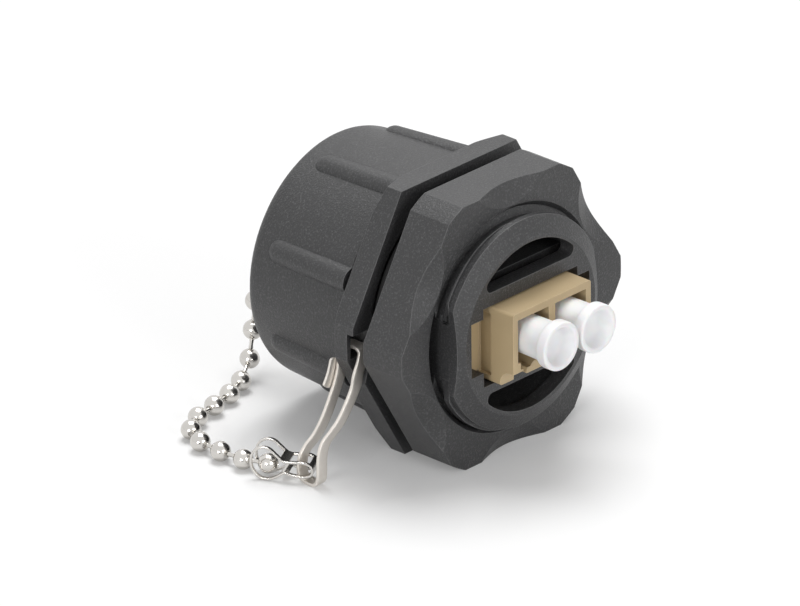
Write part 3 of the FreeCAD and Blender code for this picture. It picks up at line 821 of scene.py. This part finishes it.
@dataclass
class ScrewCap:
    """The cap: a tapered cup with a rounded end and ribs round it.

    Attributes:
        rim: y of the open rim, in mm.
        end: y of the closed end, in mm.
        rim_radius: Outer radius at the rim, in mm.
        end_radius: Outer radius at the end, in mm.
        inner_radius: Radius inside, in mm.
        floor: y of the inside floor, in mm.
        rounds: Rounding of the outline's corners 1 to 4, from the closed end to the
            inside floor, in mm.
        ribs: How many ribs.
        rib_radius: Radius of a rib, in mm.
        rib_foot: Radius of a rib's middle line at the rim, in mm.
        rib_tip: Radius and y of its middle line at the tip, in mm.
        rib_rings: Shares of the bar's length at which it has further rings.
        rib_sides: Steps round a rib.
        tip_rings: Steps from the bar to the pole of its tip.
        wall_kept: How far a rib stays off the inside of the wall, in mm.
    """

    rim: float = 3.6
    end: float = 19.8
    rim_radius: float = 15.95
    end_radius: float = 15.05
    inner_radius: float = 14.2
    floor: float = 17.8
    rounds: dict = field(default_factory=lambda: {1: 1.5, 2: 0.35, 3: 0.3, 4: 0.6})
    ribs: int = 8
    rib_radius: float = 1.62
    rib_foot: float = 15.25
    rib_tip: tuple = (14.4, 15.3)
    rib_rings: tuple = (0.03, 0.5)
    rib_sides: int = 28
    tip_rings: int = 6
    wall_kept: float = 0.25

    def shell(self) -> bpy.types.Mesh:
        """Turns the cup.

        Returns:
            The mesh.
        """
        outline = [
            (0.0, self.end), (self.end_radius, self.end), (self.rim_radius, self.rim),
            (self.inner_radius, self.rim), (self.inner_radius, self.floor), (0.0, self.floor),
        ]
        return turned("cap_shell", rounded(outline, self.rounds, steps=7), sides=160)

    def rib_stops(self) -> list:
        """Finds the rings of a rib's bar and round tip.

        Returns:
            Middle point in mm and share of the full radius, for each ring from the foot
            to the pole.
        """
        foot = Vector((self.rib_foot, self.rim, 0.0))
        tip = Vector((*self.rib_tip, 0.0))
        lean = (tip - foot).normalized()
        stops = [(foot, 1.0)]
        stops += [(foot.lerp(tip, share), 1.0) for share in self.rib_rings]
        stops.append((tip, 1.0))
        for step in range(1, self.tip_rings + 1):
            turn = math.radians(90.0 / self.tip_rings * step)
            stops.append((tip + lean * self.rib_radius * math.sin(turn), math.cos(turn)))
        return stops

    def rib(self) -> bpy.types.Mesh:
        """Makes the rib on the +X side: a leaning bar with a round tip.

        Returns:
            The mesh.
        """
        build = bmesh.new()
        stops = self.rib_stops()
        foot = stops[0][0]
        tip = Vector((*self.rib_tip, 0.0))
        lean = (tip - foot).normalized()
        out = Vector((lean.y, -lean.x, 0.0))
        innermost = self.inner_radius + self.wall_kept
        sides = self.rib_sides
        rings = []
        for middle, share in stops[:-1]:
            ring = []
            for k in range(sides):
                turn = 2.0 * math.pi * k / sides
                spot = middle + out * (self.rib_radius * share * math.cos(turn))
                spot = spot + Vector((0.0, 0.0, self.rib_radius * share * math.sin(turn)))
                if middle == foot:
                    spot.y = self.rim
                spot.x = max(spot.x, innermost)
                ring.append(build.verts.new(spot * MM))
            rings.append(ring)
        top = stops[-1][0]
        top.x = max(top.x, innermost)
        pole = build.verts.new(top * MM)
        for low, high in zip(rings, rings[1:]):
            for k in range(sides):
                far = (k + 1) % sides
                build.faces.new((low[k], low[far], high[far], high[k]))
        for k in range(sides):
            build.faces.new((rings[-1][k], rings[-1][(k + 1) % sides], pole))
        build.faces.new(list(reversed(rings[0])))
        return closed_up(build, bpy.data.meshes.new("cap_rib"))

    def ring_tree(self, material: bpy.types.Material) -> bpy.types.NodeTree:
        """Builds the node tree that sets the rib round the axis.

        Args:
            material: The ribs' material.

        Returns:
            The geometry node tree.
        """
        inputs = (
            ("Geometry", GEOMETRY, None),
            ("Count", INTEGER, self.ribs),
            ("First Angle", FLOAT, math.pi / self.ribs),
        )
        graph, entry, leave = open_tree(
            "cap_rib_ring", "GeometryNodeTree", inputs, (("Geometry", GEOMETRY),))
        spots = graph.add("GeometryNodePoints")
        graph.wire(entry.outputs["Count"], spots.inputs["Count"])
        number = graph.add("GeometryNodeInputIndex")
        step = graph.maths("DIVIDE", 2.0 * math.pi, entry.outputs["Count"])
        angle = graph.maths("MULTIPLY", number.outputs[0], step)
        angle = graph.maths("ADD", angle, entry.outputs["First Angle"])
        turn = graph.add("ShaderNodeCombineXYZ")
        graph.wire(angle, turn.inputs[1])
        copies = graph.add("GeometryNodeInstanceOnPoints")
        graph.wire(spots.outputs[0], copies.inputs["Points"])
        graph.wire(entry.outputs["Geometry"], copies.inputs["Instance"])
        graph.wire(turn.outputs[0], copies.inputs["Rotation"])
        graph.end(copies.outputs[0], leave, material)
        return graph.tree

    def build(self, shop: Workshop) -> None:
        """Makes the cup and its ribs.

        Args:
            shop: The workshop that finishes the pieces.
        """
        shop.piece("cap_shell", self.shell(), Slot.DARK, ("screw_cap",))
        holder = shop.holder(self.rib())
        ring = holder.modifiers.new("ring", "NODES")
        ring.node_group = self.ring_tree(shop.paint.material(Slot.DARK))
        shop.piece("cap_ribs", shop.baked(holder, "cap_ribs"), Slot.DARK, rides="cap")


@dataclass
class TurnedPieces:
    """The turned and moulded round pieces: plugs, gasket and rivet.

    Attributes:
        plug_section: Section of a dust plug, (radius, y) in mm.
        plug_rounds: Rounding of that section's corners, in mm.
        gasket_section: Section of the panel gasket, in mm.
        gasket_round: Rounding of each of its corners, in mm.
        rivet_section: Section of the swivel's rivet, in mm.
        rivet_rounds: Rounding of that section's corners, in mm.
    """

    plug_section: tuple = (
        (1.6, -6.6), (2.25, -6.6), (2.4, -17.1), (2.95, -17.3), (2.95, -18.75),
        (2.35, -18.75), (1.7, -16.9), (0.0, -16.9), (0.0, -14.4), (1.6, -14.4),
    )
    plug_rounds: dict = field(default_factory=lambda: {
        0: 0.1, 1: 0.2, 2: 0.3, 3: 0.28, 4: 0.3, 5: 0.28, 6: 0.8})
    gasket_section: tuple = ((13.45, -1.7), (14.9, -1.7), (14.9, -0.1), (13.45, -0.1))
    gasket_round: float = 0.25
    rivet_section: tuple = (
        (0.0, 18.95), (0.99, 18.95), (0.99, 20.55), (1.7, 20.55), (1.7, 20.75),
        (1.0, 21.15), (0.0, 21.15),
    )
    rivet_rounds: dict = field(default_factory=lambda: {4: 0.15, 5: 0.5})

    def build(self, shop: Workshop) -> None:
        """Turns each piece.

        Args:
            shop: The workshop that finishes the pieces.
        """
        for node in ("dust_plug_left", "dust_plug_right"):
            middle = shop.centre(node)
            outline = rounded(self.plug_section, self.plug_rounds, steps=6)
            mesh = turned(node + "_fine", outline, sides=72,
                          centre=(middle.x / MM, middle.z / MM))
            shop.piece(node + "_fine", mesh, Slot.WHITE, (node,))
        corners = {k: self.gasket_round for k in range(len(self.gasket_section))}
        outline = rounded(self.gasket_section, corners, steps=4)
        mesh = turned("gasket_ring", outline, sides=144)
        shop.piece("gasket_ring", mesh, Slot.RUBBER, ("panel_gasket",))
        outline = rounded(self.rivet_section, self.rivet_rounds, steps=5)
        mesh = turned("rivet_dome", outline, sides=48)
        shop.piece("rivet_dome", mesh, Slot.NICKEL, ("swivel_rivet",))


@dataclass
class BallChain:
    """The ball chain between the bail and the cap.

    Attributes:
        ball_radius: Radius of a ball, in mm.
        hole_radius: Radius of the hole that a pin enters, in mm.
        dimple_radius: Radius of a hole's floor against its mouth.
        dimple_edge: How far from the ball's middle that floor's edge is, against the
            ball's radius.
        dimple_middle: How far its middle is.
        round_steps: Steps in a ball's outline from hole to hole.
        pin_radius: Radius of a pin, in mm.
        pin_entry: How far a pin enters a ball, in mm.
        waist: Radius of a pin's waist against its own.
        waist_ends: Where the waist ends, against half the pin's length.
    """

    ball_radius: float = 1.2
    hole_radius: float = 0.4
    dimple_radius: float = 0.9
    dimple_edge: float = 0.85
    dimple_middle: float = 0.8
    round_steps: int = 22
    pin_radius: float = 0.27
    pin_entry: float = 0.24
    waist: float = 0.86
    waist_ends: float = 0.6

    def lay(self, mesh: bpy.types.Mesh, at: Vector, way: Vector) -> bpy.types.Mesh:
        """Lays a mesh that was turned about Y along a direction.

        Args:
            mesh: The mesh, about the origin.
            at: Where its middle goes, in metres.
            way: The direction that its line takes.

        Returns:
            The mesh.
        """
        facing = way.to_track_quat("Z", "Y").to_matrix().to_4x4()
        mesh.transform(Matrix.Rotation(math.radians(90.0), 4, "X"))
        mesh.transform(Matrix.Translation(at) @ facing)
        return mesh

    def ball(self, name: str, at: Vector, way: Vector) -> bpy.types.Mesh:
        """Makes one ball with a dimple at each end of its string line.

        Args:
            name: Name of the mesh.
            at: Its centre, in metres.
            way: Direction of the chain there.

        Returns:
            The mesh.
        """
        radius = self.ball_radius
        floor = self.hole_radius * self.dimple_radius
        start = math.asin(self.hole_radius / radius)
        outline = [(0.0, -radius * self.dimple_middle), (floor, -radius * self.dimple_edge)]
        for k in range(self.round_steps + 1):
            turn = start + (math.pi - 2.0 * start) * k / self.round_steps
            outline.append((radius * math.sin(turn), -radius * math.cos(turn)))
        outline += [(floor, radius * self.dimple_edge), (0.0, radius * self.dimple_middle)]
        return self.lay(turned(name, outline, sides=40), at, way)

    def pin(self, name: str, start: Vector, end: Vector) -> bpy.types.Mesh:
        """Makes one pin between two balls, a little waisted.

        Args:
            name: Name of the mesh.
            start: Centre of the first ball, in metres.
            end: Centre of the second ball, in metres.

        Returns:
            The mesh.
        """
        gap = (end - start).length / MM
        reach = gap * 0.5 - self.ball_radius + self.pin_entry
        radius = self.pin_radius
        outline = [
            (0.0, -reach), (radius, -reach), (radius, -reach * self.waist_ends),
            (radius * self.waist, 0.0), (radius, reach * self.waist_ends), (radius, reach),
            (0.0, reach),
        ]
        return self.lay(turned(name, outline, sides=20), (start + end) * 0.5, end - start)

    def build(self, shop: Workshop) -> None:
        """Makes every ball and pin where its CAD node is.

        Args:
            shop: The workshop that finishes the pieces.
        """
        balls = sorted(n for n in shop.frame["nodes"] if n.startswith("chain_ball_"))
        spots = [shop.centre(n) for n in balls]
        last = len(spots) - 1
        for k, node in enumerate(balls):
            way = spots[min(k + 1, last)] - spots[max(k - 1, 0)]
            mesh = self.ball(node + "_round", spots[k], way)
            shop.piece(node + "_round", mesh, Slot.NICKEL, (node,))
        for k in range(last):
            node = "chain_pin_%02d" % (k + 1)
            mesh = self.pin(node + "_round", spots[k], spots[k + 1])
            shop.piece(node + "_round", mesh, Slot.NICKEL, (node,))


@dataclass
class ChainClip:
    """A strip bent into a ball cup, a waist and an eye, slotted through each.

    Attributes:
        node: The CAD node it stands for.
        ball: The CAD node of the ball in its cup.
        along: Direction from the cup to the eye.
        above: Direction of the cup's high side.
        line: Middle line of the bent strip, (along, above) in mm.
        width: Width of the strip, in mm.
        thick: Its thickness, in mm.
        slot_half: Half width of the slots, in mm.
        cup_slot: Where along the clip the cup's slot runs, in mm.
        eye_slot: Where the eye's slot runs, in mm.
        bend_steps: Steps between two points of the middle line.
        edge: Width of the softened edges, in mm.
    """

    node: str
    ball: str
    along: tuple
    above: tuple
    line: tuple = (
        (-1.75, 0.75), (-1.45, 1.85), (-0.6, 2.5), (0.4, 2.45), (1.25, 1.75), (2.1, 1.05),
        (3.2, 1.0), (4.5, 1.1), (5.35, 0.75), (5.55, 0.15), (5.3, -0.4), (4.4, -0.7),
        (3.2, -0.62), (2.2, -0.42), (1.35, -0.95), (0.3, -1.38), (-0.8, -1.2), (-1.55, -0.3),
    )
    width: float = 2.8
    thick: float = 0.28
    slot_half: float = 0.93
    cup_slot: tuple = (-2.6, 1.7)
    eye_slot: tuple = (2.7, 5.05)
    bend_steps: int = 8
    edge: float = 0.07

    def slotted(self, along: float) -> bool:
        """Tells whether a slot runs through the strip.

        Args:
            along: Place along the clip, in mm.

        Returns:
            True inside the cup's or the eye's slot.
        """
        return any(low < along < high for low, high in (self.cup_slot, self.eye_slot))

    def strip(self) -> bpy.types.Mesh:
        """Makes the bent strip as one sheet with its slots left open.

        Returns:
            The mesh.
        """
        build = bmesh.new()
        spots = smooth_line(self.line, self.bend_steps, closed=True)
        half = self.width * 0.5
        inner = self.slot_half
        between = (half + inner) * 0.5
        columns = (-half, -between, -inner, 0.0, inner, between, half)
        rows = []
        for spot in spots:
            rows.append([build.verts.new(Vector((spot.x, spot.y, w)) * MM) for w in columns])
        count = len(rows)
        for k, row in enumerate(rows):
            after = rows[(k + 1) % count]
            middle = (spots[k].x + spots[(k + 1) % count].x) * 0.5
            for c in range(len(columns) - 1):
                in_slot = columns[c] >= -inner and columns[c + 1] <= inner
                if in_slot and self.slotted(middle):
                    continue
                build.faces.new((row[c], row[c + 1], after[c + 1], after[c]))
        loose = [v for v in build.verts if not v.link_faces]
        bmesh.ops.delete(build, geom=loose, context="VERTS")
        return closed_up(build, bpy.data.meshes.new(self.node))

    def build(self, shop: Workshop) -> None:
        """Gives the strip its wall and sets it on its ball.

        Args:
            shop: The workshop that finishes the piece.
        """
        mesh = shop.walled(self.strip(), self.node + "_bent", self.thick, self.edge, even=True)
        run = Vector(self.along).normalized()
        high = Vector(self.above)
        high = (high - run * high.dot(run)).normalized()
        wide = run.cross(high)
        turn = Matrix((run, high, wide)).transposed().to_4x4()
        mesh.transform(Matrix.Translation(shop.centre(self.ball)) @ turn)
        shop.piece(self.node + "_bent", mesh, Slot.NICKEL, (self.node,))


@dataclass
class BailStrap:
    """The strip hooked through the flange that carries the chain.

    Attributes:
        width: Width of the strip, in mm.
        thick: Its thickness, in mm.
        front_leg: Middle line of the leg at the flange's front, in mm.
        rear_leg: Middle line of the leg at its back, in mm.
        loop_steps: Steps between two points of the loop.
        columns: Lines along the strip, as shares of its half width.
        edge: Width of the softened edges, in mm.
        tail: Middle line of the short end welded on the rear leg, in mm.
        tail_width: Width of that end, in mm.
        tail_thick: Its thickness, in mm.
        tail_steps: Steps between two points of its line.
        end_share: How many times the rounding of each end goes into the tail's length.
        end_least: Square of the least width, at the very end, against the full width.
    """

    width: float = 1.5
    thick: float = 0.4
    front_leg: tuple = (
        (-15.95, 1.5, -0.9), (-15.95, 0.75, -0.95), (-16.0, 0.25, -1.6), (-16.9, 0.25, -3.9),
        (-17.7, 0.0, -5.4), (-19.35, 0.3, -8.4), (-20.55, 0.6, -9.85), (-21.7, 0.9, -11.1),
        (-22.2, 1.0, -12.75), (-22.3, 1.05, -15.4), (-22.25, 1.7, -16.25),
    )
    rear_leg: tuple = (
        (-22.2, 2.6, -16.38), (-22.2, 3.5, -16.25), (-22.25, 4.1, -15.6), (-22.15, 4.1, -13.8),
        (-21.5, 3.9, -12.6), (-20.2, 3.7, -11.5), (-19.0, 3.6, -10.0), (-17.9, 3.5, -8.0),
        (-16.6, 3.32, -4.85), (-16.0, 3.3, -1.6), (-15.95, 2.7, -0.95),
    )
    loop_steps: int = 6
    columns: tuple = (-1, -0.4, 0.4, 1)
    edge: float = 0.09
    tail: tuple = ((-17.1, 3.72, -2.8), (-17.7, 3.73, -4.6), (-18.5, 3.8, -6.1))
    tail_width: float = 1.3
    tail_thick: float = 0.3
    tail_steps: int = 12
    end_share: float = 9.0
    end_least: float = 0.06

    def end_width(self, place: float) -> float:
        """Rounds the ends of an open strip.

        Args:
            place: Distance from the nearer end, as a share of the whole line.

        Returns:
            The width there, as a share of the full width.
        """
        short = max(0.0, 1.0 - place * self.end_share)
        return math.sqrt(max(self.end_least, 1.0 - short ** 2))

    def ribbon(self, name: str, spots: list, width: float, closed: bool) -> bpy.types.Mesh:
        """Makes a flat sheet along a line, its width across the run near X.

        Args:
            name: Name of the mesh.
            spots: Points of the line, in mm.
            width: Width of the sheet, in mm.
            closed: True where the line is a loop.

        Returns:
            The mesh.
        """
        build = bmesh.new()
        count = len(spots)
        rows = []
        for k, spot in enumerate(spots):
            ahead = spots[(k + 1) % count] if closed else spots[min(k + 1, count - 1)]
            run = (ahead - (spots[k - 1] if closed or k else spot)).normalized()
            flat = Vector((1.0, 0.0, 0.0))
            flat = (flat - run * flat.dot(run)).normalized()
            reach = width * 0.5
            if not closed:
                reach *= self.end_width(min(k, count - 1 - k) / count)
            row = [(spot + flat * reach * share) * MM for share in self.columns]
            rows.append([build.verts.new(corner) for corner in row])
        for k in range(count if closed else count - 1):
            row = rows[k]
            after = rows[(k + 1) % count]
            for c in range(len(self.columns) - 1):
                build.faces.new((row[c], row[c + 1], after[c + 1], after[c]))
        return closed_up(build, bpy.data.meshes.new(name))

    def build(self, shop: Workshop) -> None:
        """Makes the loop and its welded tail.

        Args:
            shop: The workshop that finishes the pieces.
        """
        spots = smooth_line(self.front_leg + self.rear_leg, self.loop_steps, closed=True)
        sheet = self.ribbon("bail_loop", spots, self.width, closed=True)
        mesh = shop.walled(sheet, "bail_loop", self.thick, self.edge, even=False)
        shop.piece("bail_loop", mesh, Slot.STRAP, ("bail_strap",))
        spots = smooth_line(self.tail, self.tail_steps)
        sheet = self.ribbon("bail_tail", spots, self.tail_width, closed=False)
        mesh = shop.walled(sheet, "bail_tail", self.tail_thick, self.edge, even=False)
        shop.piece("bail_tail", mesh, Slot.STRAP, rides="bail")


@dataclass(frozen=True)
class Eye:
    """Where the camera stands.

    Attributes:
        azimuth: Degrees round the object.
        elevation: Degrees above the horizon.
        roll: Degrees of roll.
        away: Distance from the frame's origin, in metres.
        shift: Sideways and upward offset of the line of sight, in metres.
        lens: Focal length, in mm.
        sensor: Width of the sensor, in mm.
        near: Nearest distance that it sees, in metres.
        far: Farthest distance, in metres.
    """

    azimuth: float = -46.3
    elevation: float = 25.4
    roll: float = -0.73
    away: float = 1.417
    shift: tuple = (-6.95 * MM, -0.62 * MM)
    lens: float = 556.0
    sensor: float = 36.0
    near: float = 0.05
    far: float = 20.0

    def place(self) -> None:
        """Makes the scene's camera."""
        turn = math.radians(self.azimuth)
        rise = math.radians(self.elevation)
        roll = math.radians(self.roll)
        level = math.cos(rise)
        back = Vector((math.sin(turn) * level, -math.cos(turn) * level, math.sin(rise)))
        right = Vector((math.cos(turn), math.sin(turn), 0.0))
        up = back.cross(right)
        across = right * math.cos(roll) + up * math.sin(roll)
        above = up * math.cos(roll) - right * math.sin(roll)
        data = bpy.data.cameras.new("studio_camera")
        data.lens = self.lens
        data.sensor_width = self.sensor
        data.clip_start = self.near
        data.clip_end = self.far
        camera = bpy.data.objects.new("studio_camera", data)
        bpy.context.scene.collection.objects.link(camera)
        at = back * self.away + right * self.shift[0] + up * self.shift[1]
        facing = Matrix((across, above, back)).transposed().to_4x4()
        camera.matrix_world = Matrix.Translation(at) @ facing
        bpy.context.scene.camera = camera


@dataclass
class Studio:
    """The pale floor, the soft lights and the world.

    Attributes:
        reach: Half size of the floor, in metres.
        ambient: Strength of the world's light on the object.
        floor_tone: Brightness of the floor's own colour.
        floor_lift: What the floor adds for the camera, so that it reads as white.
        floor_gloss: Specular level of the floor.
        card_tone: Brightness of the dark cards.
        matt: Roughness of floor and cards.
        lamps: Name, place, size and power of each soft light.
        cards: Name, corner, and two sides of each dark card, in metres.
    """

    reach: float = 3.0
    ambient: float = 0.3
    floor_tone: float = 0.78
    floor_lift: float = 0.14
    floor_gloss: float = 0.1
    card_tone: float = 0.02
    matt: float = 0.9
    lamps: tuple = (
        ("top_soft", (0.12, 0.1, 0.5), (0.34, 0.34), 2.4),
        ("left_key", (-0.52, -0.16, 0.1), (0.16, 0.16), 1.3),
        ("front_soft", (-0.1, -0.6, 0.22), (0.3, 0.3), 1.3),
    )
    cards: tuple = (
        ("card_left", (-0.34, -0.3, -0.0165), (-0.02, 0.24, 0.0), (0.0, 0.0, 0.07)),
        ("card_front", (-0.16, -0.42, -0.0165), (0.3, 0.02, 0.0), (0.0, 0.0, 0.06)),
    )

    def lamp(self, name: str, spot: tuple, size: tuple, power: float) -> None:
        """Adds one soft rectangular light that faces the object.

        Args:
            name: Name of the light.
            spot: Its place, in metres.
            size: Its two sides, in metres.
            power: Its power, in watts.
        """
        data = bpy.data.lights.new(name, "AREA")
        data.shape = "RECTANGLE"
        data.size, data.size_y = size
        data.energy = power
        made = bpy.data.objects.new(name, data)
        bpy.context.scene.collection.objects.link(made)
        made.location = spot
        made.rotation_mode = "QUATERNION"
        made.rotation_quaternion = Vector(spot).to_track_quat("Z", "Y")

    def plane(self, name: str, corners: list, material: bpy.types.Material) -> None:
        """Adds one flat piece of the studio.

        Args:
            name: Name of the piece.
            corners: Its four corners, in metres.
            material: Its material.
        """
        mesh = bpy.data.meshes.new(name)
        mesh.from_pydata(corners, [], [(0, 1, 2, 3)])
        mesh.materials.append(material)
        made = bpy.data.objects.new(name, mesh)
        bpy.context.scene.collection.objects.link(made)
        made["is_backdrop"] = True

    def matt_finish(self, name: str, tone: float) -> bpy.types.Material:
        """Makes a plain grey material.

        Args:
            name: Name of the material.
            tone: Brightness of its colour.

        Returns:
            The material.
        """
        made = bpy.data.materials.new(name)
        made.use_nodes = True
        shader = made.node_tree.nodes["Principled BSDF"]
        shader.inputs["Base Color"].default_value = (tone, tone, tone, 1.0)
        shader.inputs["Roughness"].default_value = self.matt
        return made

    def seen(self, graph: Graph) -> bpy.types.NodeSocket:
        """Finds the rays of the camera and of reflections.

        Args:
            graph: The graph that needs them.

        Returns:
            Output socket: 1 for those rays and 0 for others.
        """
        path = graph.add("ShaderNodeLightPath")
        return graph.maths("MAXIMUM", path.outputs["Is Camera Ray"],
                           path.outputs["Is Glossy Ray"])

    def floor_finish(self) -> bpy.types.Material:
        """Makes the floor's material, lifted where the camera or a mirror sees it.

        Returns:
            The material.
        """
        made = self.matt_finish("floor_pale", self.floor_tone)
        graph = Graph(made.node_tree)
        shader = made.node_tree.nodes["Principled BSDF"]
        shader.inputs["Specular IOR Level"].default_value = self.floor_gloss
        shader.inputs["Emission Color"].default_value = (1.0, 1.0, 1.0, 1.0)
        lift = graph.maths("MULTIPLY", self.seen(graph), self.floor_lift)
        graph.wire(lift, shader.inputs["Emission Strength"])
        return made

    def world(self) -> None:
        """Makes the world: plain light on the object, white behind it."""
        made = bpy.data.worlds.new("studio_world")
        made.use_nodes = True
        graph = Graph(made.node_tree)
        shade = made.node_tree.nodes["Background"]
        shade.inputs["Color"].default_value = (1.0, 1.0, 1.0, 1.0)
        rest = graph.maths("MULTIPLY", self.seen(graph), 1.0 - self.ambient)
        graph.wire(graph.maths("ADD", rest, self.ambient), shade.inputs["Strength"])
        bpy.context.scene.world = made

    def build(self, floor_z: float) -> None:
        """Makes the studio round the object.

        Args:
            floor_z: Height that the object rests on, in metres.
        """
        far = self.reach
        ends = ((-far, -far), (far, -far), (far, far), (-far, far))
        self.plane("floor", [(x, y, floor_z) for x, y in ends], self.floor_finish())
        dark = self.matt_finish("card_dark", self.card_tone)
        for name, corner, side, rise in self.cards:
            near = Vector(corner)
            far_end = near + Vector(side)
            sides = [near, far_end, far_end + Vector(rise), near + Vector(rise)]
            self.plane(name, [tuple(p) for p in sides], dark)
        self.world()
        for name, spot, size, power in self.lamps:
            self.lamp(name, spot, size, power)


def threads() -> list:
    """Lists the threads. The barrel's flats and its collar trim the front one.

    Returns:
        The threads of the front barrel, the nut, the rear barrel and the cap.
    """
    flat_x = 11.75
    collar_y = -9.2
    cuts = (
        ((flat_x, 0.0, 0.0), (1.0, 0.0, 0.0)),
        ((-flat_x, 0.0, 0.0), (-1.0, 0.0, 0.0)),
        ((0.0, collar_y, 0.0), (0.0, -1.0, 0.0)),
    )
    return [
        ScrewThread("front_thread", "coupler", foot=12.25, crest=13.3, pitch=3.0, start=-9.95,
                    turns=3.0, foot_wide=1.9, crest_wide=1.0, first=276.0, cuts=cuts),
        ScrewThread("nut_thread", "nut", foot=13.45, crest=12.75, pitch=3.0, start=-7.4,
                    turns=1.5, foot_wide=1.1, crest_wide=0.5),
        ScrewThread("rear_thread", "coupler", foot=13.2, crest=13.95, pitch=4.0, start=5.4,
                    turns=2.3, foot_wide=1.6, crest_wide=0.8),
        ScrewThread("cap_thread", "cap", foot=14.3, crest=13.6, pitch=4.0, start=5.4,
                    turns=2.4, foot_wide=1.3, crest_wide=0.7, first=180.0),
    ]


def clips(last_ball: str) -> list:
    """Lists the clips. The cap's one leans out from its swivel, over the cap's end.

    Args:
        last_ball: The CAD node of the chain's last ball.

    Returns:
        The clips of the bail and of the cap.
    """
    lean = math.radians(35.0)
    out, back = 0.78, 0.62
    return [
        ChainClip("bail_clip", "chain_ball_01", along=(0.476, -0.879, 0.0),
                  above=(0.0, 0.0, 1.0)),
        ChainClip("cap_clip", last_ball,
                  along=(out * math.sin(lean), -back, out * math.cos(lean)),
                  above=(back * math.sin(lean), out, back * math.cos(lean))),
    ]


def main() -> None:
    """Dresses the frame piece by piece and sets up the studio and the camera."""
    logging.basicConfig(level=logging.INFO)
    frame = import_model()
    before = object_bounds()
    for item in list(bpy.data.objects):
        if item.type in ("LIGHT", "CAMERA"):
            bpy.data.objects.remove(item)
    bpy.context.scene.view_settings.view_transform = "Standard"
    shop = Workshop(frame, Paint())
    shop.dress_nodes()
    MouldedShells().build(shop)
    for thread in threads():
        thread.build(shop)
    ScrewCap().build(shop)
    TurnedPieces().build(shop)
    BallChain().build(shop)
    for clip in clips(max(n for n in frame["nodes"] if n.startswith("chain_ball_"))):
        clip.build(shop)
    BailStrap().build(shop)
    Studio().build(before[0].z)
    Eye().place()


if __name__ == "__main__":
    main()
